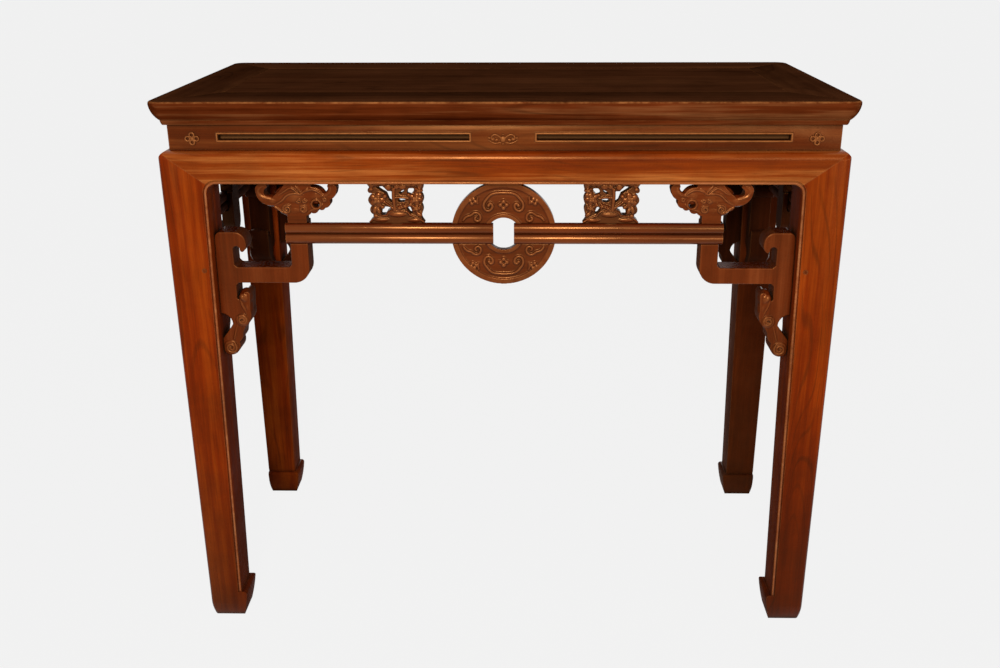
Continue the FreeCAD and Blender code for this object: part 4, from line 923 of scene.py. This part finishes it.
def finish_motif(motif, name, material):
    motif.name = name
    skin = motif.modifiers.new("skin", "REMESH")
    skin.mode = "VOXEL"
    skin.voxel_size = MOTIF_GRIT * MM
    soften = motif.modifiers.new("soften", "SMOOTH")
    soften.iterations = 1
    apply_modifiers(motif)
    bpy.ops.object.shade_smooth()
    settle(motif, material, "waist_wood")


def corner_flower(side, name, material):
    """Flower of four looped petals near an end of the front board."""
    strokes = []
    for index in range(PETALS):
        angle = 2 * math.pi * index / PETALS
        across = PETAL_ACROSS * math.cos(angle)
        up = PETAL_UP * math.sin(angle)
        loop = spiral(across, up, PETAL_LOOP, PETAL_LOOP, 1.0, angle, 1)
        strokes.append(bead(laid(loop, -MOTIF_DEPTH), PETAL_LINE))
    strokes.append(lump(*FLOWER_HEART))
    motif = seat(strokes, (side * CORNER_FLOWER * MM, -FRONT_WAIST, FLOWER_HEIGHT * MM))
    finish_motif(motif, name, material)


def leaf_motif(material):
    """Two curled leaves either side of a bud, in the middle of the front board."""
    strokes = [lump(*LEAF_HEART)]
    for side in (-1, 1):
        strokes.append(bead(laid(flipped(WING, side, 1), MOTIF_DEPTH), WING_LINE))
        strokes.append(bead(laid(flipped(TAIL, side, 1), MOTIF_DEPTH), TAIL_LINE, (0.6,)))
        for across, up, wide, deep, tall, turn in LEAF_SWELLS:
            strokes.append(lump(side * across, up, MOTIF_DEPTH, wide, deep, tall, side * turn))
    for up in LEAF_BUDS:
        strokes.append(lump(0, up, MOTIF_DEPTH, *BUD_SWELL))
    motif = seat(strokes, (0, -FRONT_WAIST, LEAF_HEIGHT * MM))
    finish_motif(motif, "waist_leaf_motif", material)


def smooth_strand(strand, name, face, quarters, material, slot):
    """Bring a drawn strand to a face of the table and finish it."""
    strand.location = (0, -face, 0)
    apply_turn(strand)
    piece = seat([strand], (0, 0, 0), False, quarters)
    piece.name = name
    bpy.ops.object.shade_smooth_by_angle(angle=STRAND_ANGLE)
    settle(piece, material, slot)


def slot_frame(name, near, far, face, quarters, material):
    """Raised bead that frames a sunk slot of the waist, between two distances from its middle."""
    low = SLOT_MIDDLE - SLOT_HALF_HEIGHT - SLOT_EDGE
    high = SLOT_MIDDLE + SLOT_HALF_HEIGHT + SLOT_EDGE
    left = near - SLOT_EDGE
    right = far + SLOT_EDGE
    middle = (left + right) / 2
    path = [(middle, low)]
    for across, up in ((right, low), (right, high), (left, high), (left, low)):
        step = SLOT_CORNER if across == right else -SLOT_CORNER
        rise = SLOT_CORNER if up == high else -SLOT_CORNER
        corner = [(across, up - rise), (across, up), (across - step, up)]
        if (across == right) != (up == high):
            corner.reverse()
        path += corner
    path.append((middle, low))
    strand = bead(laid(path, SLOT_DEPTH), SLOT_STRAND)
    smooth_strand(strand, name, face, quarters, material, "waist_wood")


# Edge bead of the aprons and legs
BEAD_LIFT = BEAD_WIDTH / 2
BEAD_GAP = 3.0 * MM
BEAD_START = TOE_LEDGE + BEAD_GAP
BEAD_DEPTH = 1.0
BEND_STEPS = 8


def edge_bead(name, half, face, quarters, material):
    """Rounded bead along an apron's lower edge and down the inner edge of both its legs."""

    def inner(height):
        width = LEG_FLOOR_WIDTH + (LEG_TOP_WIDTH - LEG_FLOOR_WIDTH) * height / APRON_TOP
        return half - width + BEAD_LIFT

    bend = APRON_BOTTOM - CORNER_RADIUS
    reach = CORNER_RADIUS + BEAD_LIFT
    path = [(inner(BEAD_START), BEAD_START), (inner(bend - MM), bend - MM), (inner(bend), bend)]
    for step in range(1, BEND_STEPS):
        angle = math.pi / 2 * step / BEND_STEPS
        path.append((inner(bend) - reach * (1 - math.cos(angle)), bend + reach * math.sin(angle)))
    path.append((inner(bend) - reach, bend + reach))
    path.append((inner(bend) - reach - MM, bend + reach))
    right = [(across / MM, up / MM) for across, up in path]
    left = [(-across, up) for across, up in reversed(right)]
    strand = bead(laid(right + left, BEAD_DEPTH), BEAD_LIFT / MM)
    smooth_strand(strand, name, face, quarters, material, "frame_wood")


def dress_top():
    long_wood = wood("top_long_lacquer", EDGE_TONES, "X", (0.2, 0.5, 0.1), gloss=0.62,
                     upper_tones=TOP_TONES, shine=0.0)
    end_wood = wood("top_end_lacquer", EDGE_TONES, "Y", (0.6, 0.2, 0.1), gloss=0.62,
                    upper_tones=TOP_TONES, shine=0.0)
    for side in ("front", "back"):
        eased("top_rail_" + side, long_wood, "top_wood", TOP_EASE)
    for end in ("left", "right"):
        eased("top_end_" + end, end_wood, "top_wood", TOP_EASE)
    paint("top_panel", long_wood)
    batten_wood = wood("batten_unpolished", BATTEN_TONES, "Y", (0.4, 0.2, 0.4), gloss=0.7, bump=0.6,
                       shine=0.2)
    for place in ("left", "middle", "right"):
        paint("top_batten_" + place, batten_wood)


def dress_waist():
    long_wood = wood("waist_long_lacquer", WAIST_TONES, "X", (0.7, 0.1, 0.5),
                     shaded_recess=heights("Y", FRONT_WAIST, SLOT_HEIGHTS))
    end_wood = wood("waist_end_lacquer", WAIST_TONES, "Y", (0.7, 0.3, 0.5),
                    shaded_recess=heights("X", END_WAIST, SLOT_HEIGHTS))
    motif_wood = wood("waist_motif_lacquer", WAIST_TONES, "X", (0.7, 0.1, 0.5), figure=0.3,
                      relief=heights("Y", FRONT_WAIST, MOTIF_HEIGHTS), grime_and_shade=0.8)
    for side in ("front", "back"):
        eased("waist_" + side, long_wood, "waist_wood", BOARD_EASE)
    for end in ("left", "right"):
        eased("waist_" + end, end_wood, "waist_wood", BOARD_EASE)
    corner_flower(-1, "waist_flower_left", motif_wood)
    corner_flower(1, "waist_flower_right", motif_wood)
    leaf_motif(motif_wood)
    slot_frame("slot_frame_right", SLOT_NEAR, SLOT_FAR, FRONT_WAIST, 0, motif_wood)
    slot_frame("slot_frame_left", -SLOT_FAR, -SLOT_NEAR, FRONT_WAIST, 0, motif_wood)


def dress_aprons():
    long_wood = wood("apron_long_lacquer", APRON_TONES, "X", (0.3, 0.1, 0.2), shine=0.45)
    end_wood = wood("apron_end_lacquer", APRON_TONES, "Y", (0.1, 0.4, 0.3))
    # The bead's pale tones are wear and a painted highlight
    bead_highlight_wood = wood("bead_highlight_lacquer", BEAD_WEAR_AND_HIGHLIGHT_TONES, "X", (0.5, 0.1, 0.4), gloss=0.26, shine=0.8)
    for side in ("front", "back"):
        eased("apron_" + side, long_wood, "frame_wood", BOARD_EASE)
    for end in ("left", "right"):
        eased("apron_" + end, end_wood, "frame_wood", BOARD_EASE)
    edge_bead("edge_bead_front", LEG_FACE_X, LEG_FACE_Y, 0, bead_highlight_wood)
    edge_bead("edge_bead_right", LEG_FACE_Y, LEG_FACE_X, 1, bead_highlight_wood)
    edge_bead("edge_bead_back", LEG_FACE_X, LEG_FACE_Y, 2, bead_highlight_wood)
    edge_bead("edge_bead_left", LEG_FACE_Y, LEG_FACE_X, 3, bead_highlight_wood)


def dress_legs():
    left_wood = wood("left_leg_lacquer", LEG_TONES, "Z", shine=0.3, shaded_foot=True)
    right_wood = wood("right_leg_lacquer", LEG_TONES, "Z", (0.9, 0.2, 0.3), shine=0.3, shaded_foot=True)
    # Back left leg painted lighter as light, back right leg painted darker as shade
    back_wood = wood("painted_light_leg_lacquer", PAINTED_LIGHT_LEG_TONES, "Z", (0.2, 0.6, 0.3), shine=0.3, shaded_foot=True)
    painted_shade_leg_wood = wood("painted_shade_leg_lacquer", PAINTED_SHADE_LEG_TONES, "Z", (0.3, 0.3, 0.7), shaded_foot=True)
    eased("leg_front_left", left_wood, "frame_wood", LEG_EASE)
    eased("leg_front_right", right_wood, "frame_wood", LEG_EASE)
    eased("leg_back_left", back_wood, "frame_wood", LEG_EASE)
    eased("leg_back_right", painted_shade_leg_wood, "frame_wood", LEG_EASE)
    paint("bracket_pins", wood("pin_end_grain", CARVED_TONES, "Y", (0.4, 0.2, 0.4), gloss=0.5, bump=0.4))


def dress_rails():
    long_wood = wood("roll_long_lacquer", ROLL_TONES, "X", (0.5, 0.8, 0.4), gloss=0.22, shine=0.85,
                     figure=0.6)
    # Side rails in the same wood painted dark as shade
    end_wood = wood("roll_end_painted_shade", SHADED_TONES, "Y", (0.5, 0.2, 0.4), shine=0.2, figure=0.6)
    for end in ("left", "right"):
        eased("front_rail_" + end, long_wood, "carved_wood", ROLL_EASE)
        eased("side_rail_" + end, end_wood, "carved_wood", ROLL_EASE)


def carve_disc():
    disc_wood = wood("disc_lacquer", CARVED_TONES, "X", (0.2, 0.8, 0.4), figure=0.5, shine=0.6,
                     relief=heights("Y", FRONT_WORK, DISC_HEIGHTS), grime_and_shade=0.45, worn=0.40)
    carve("front_disc", "disc_carved", disc_strokes(), disc_wood, grit=0.72, smooth=2)


def carve_heads(end_wood):
    head_wood = wood("head_lacquer", CARVED_TONES, "X", (0.6, 0.8, 0.4), figure=0.5, shine=0.4,
                     relief=heights("Y", FRONT_WORK, HEAD_HEIGHTS), grime_and_shade=0.55, worn=0.36)
    strokes = seat(head_strokes(), (-HEAD_PLACE * MM, -FRONT_WORK, 0), True)
    carve("ruyi_head_left", "ruyi_head_left_carved", strokes, head_wood, grit=0.6, smooth=2,
          twins=(("ruyi_head_right", "ruyi_head_right_carved", -1, 1),))
    strokes = seat(head_strokes(), (-END_WORK, 0, 0), False, -1)
    carve("ruyi_strut_left", "ruyi_strut_left_carved", strokes, end_wood, grit=0.9, smooth=2,
          twins=(("ruyi_strut_right", "ruyi_strut_right_carved", -1, 1),))


def carve_flowers():
    flower_wood = wood("flower_lacquer", CARVED_TONES, "X", (0.2, 0.1, 0.4), figure=0.5, shine=0.8,
                       relief=heights("Y", FRONT_WORK, FLOWER_HEIGHTS), grime_and_shade=0.90, worn=0.45)
    carve("flower_block_left", "flower_block_left_carved", flower_strokes(), flower_wood, grit=0.6, smooth=1,
          twins=(("flower_block_right", "flower_block_right_carved", -1, 1),), sunk=("Y", FLOWER_SUNK * MM))


def carve_brackets(end_wood):
    front_wood = wood("bracket_lacquer", CARVED_TONES, "Z", (0.2, 0.8, 0.1), figure=0.5,
                      relief=heights("Y", FRONT_WORK, BRACKET_HEIGHTS), grime_and_shade=0.35, worn=0.35)
    # Back brackets in the same wood painted dark as shade
    back_wood = wood("back_carved_painted_shade", SHADED_TONES, "Z", (0.4, 0.8, 0.1), figure=0.5, shine=0.2,
                     relief=heights("Y", FRONT_WORK, BRACKET_HEIGHTS), grime_and_shade=0.35, worn=0.3)
    strokes = seat(bracket_strokes(), (-BRACKET_FOOT_X * MM, -FRONT_WORK, 0))
    carve("front_bracket_left", "front_bracket_left_carved", strokes, front_wood, grit=0.75, smooth=3,
          twins=(("front_bracket_right", "front_bracket_right_carved", -1, 1),))
    strokes = seat(bracket_strokes(), (-BRACKET_FOOT_X * MM, FRONT_WORK, 0), True, 2)
    carve("back_bracket_left", "back_bracket_left_carved", strokes, back_wood, grit=1.0, smooth=2,
          twins=(("back_bracket_right", "back_bracket_right_carved", -1, 1),))
    strokes = seat(bracket_strokes(), (-END_WORK, -BRACKET_FOOT_Y * MM, 0), True, -1)
    carve("side_bracket_front_left", "side_bracket_front_left_carved", strokes, end_wood, grit=1.0, smooth=2,
          twins=(("side_bracket_front_right", "side_bracket_front_right_carved", -1, 1),
                 ("side_bracket_back_left", "side_bracket_back_left_carved", 1, -1),
                 ("side_bracket_back_right", "side_bracket_back_right_carved", -1, -1)))


bpy.context.scene.view_settings.view_transform = "Standard"
add_camera()
add_floor()
add_world()
add_lamps()
dress_top()
dress_waist()
dress_aprons()
dress_legs()
dress_rails()
carve_disc()
# Side struts and side brackets in the same wood painted dark as shade
end_carved_shade_wood = wood("end_carved_painted_shade", SHADED_TONES, "Z", (0.9, 0.8, 0.1), figure=0.5, shine=0.2,
                       relief=heights("X", END_WORK, BRACKET_HEIGHTS), grime_and_shade=0.45, worn=0.3)
carve_heads(end_carved_shade_wood)
carve_flowers()
carve_brackets(end_carved_shade_wood)
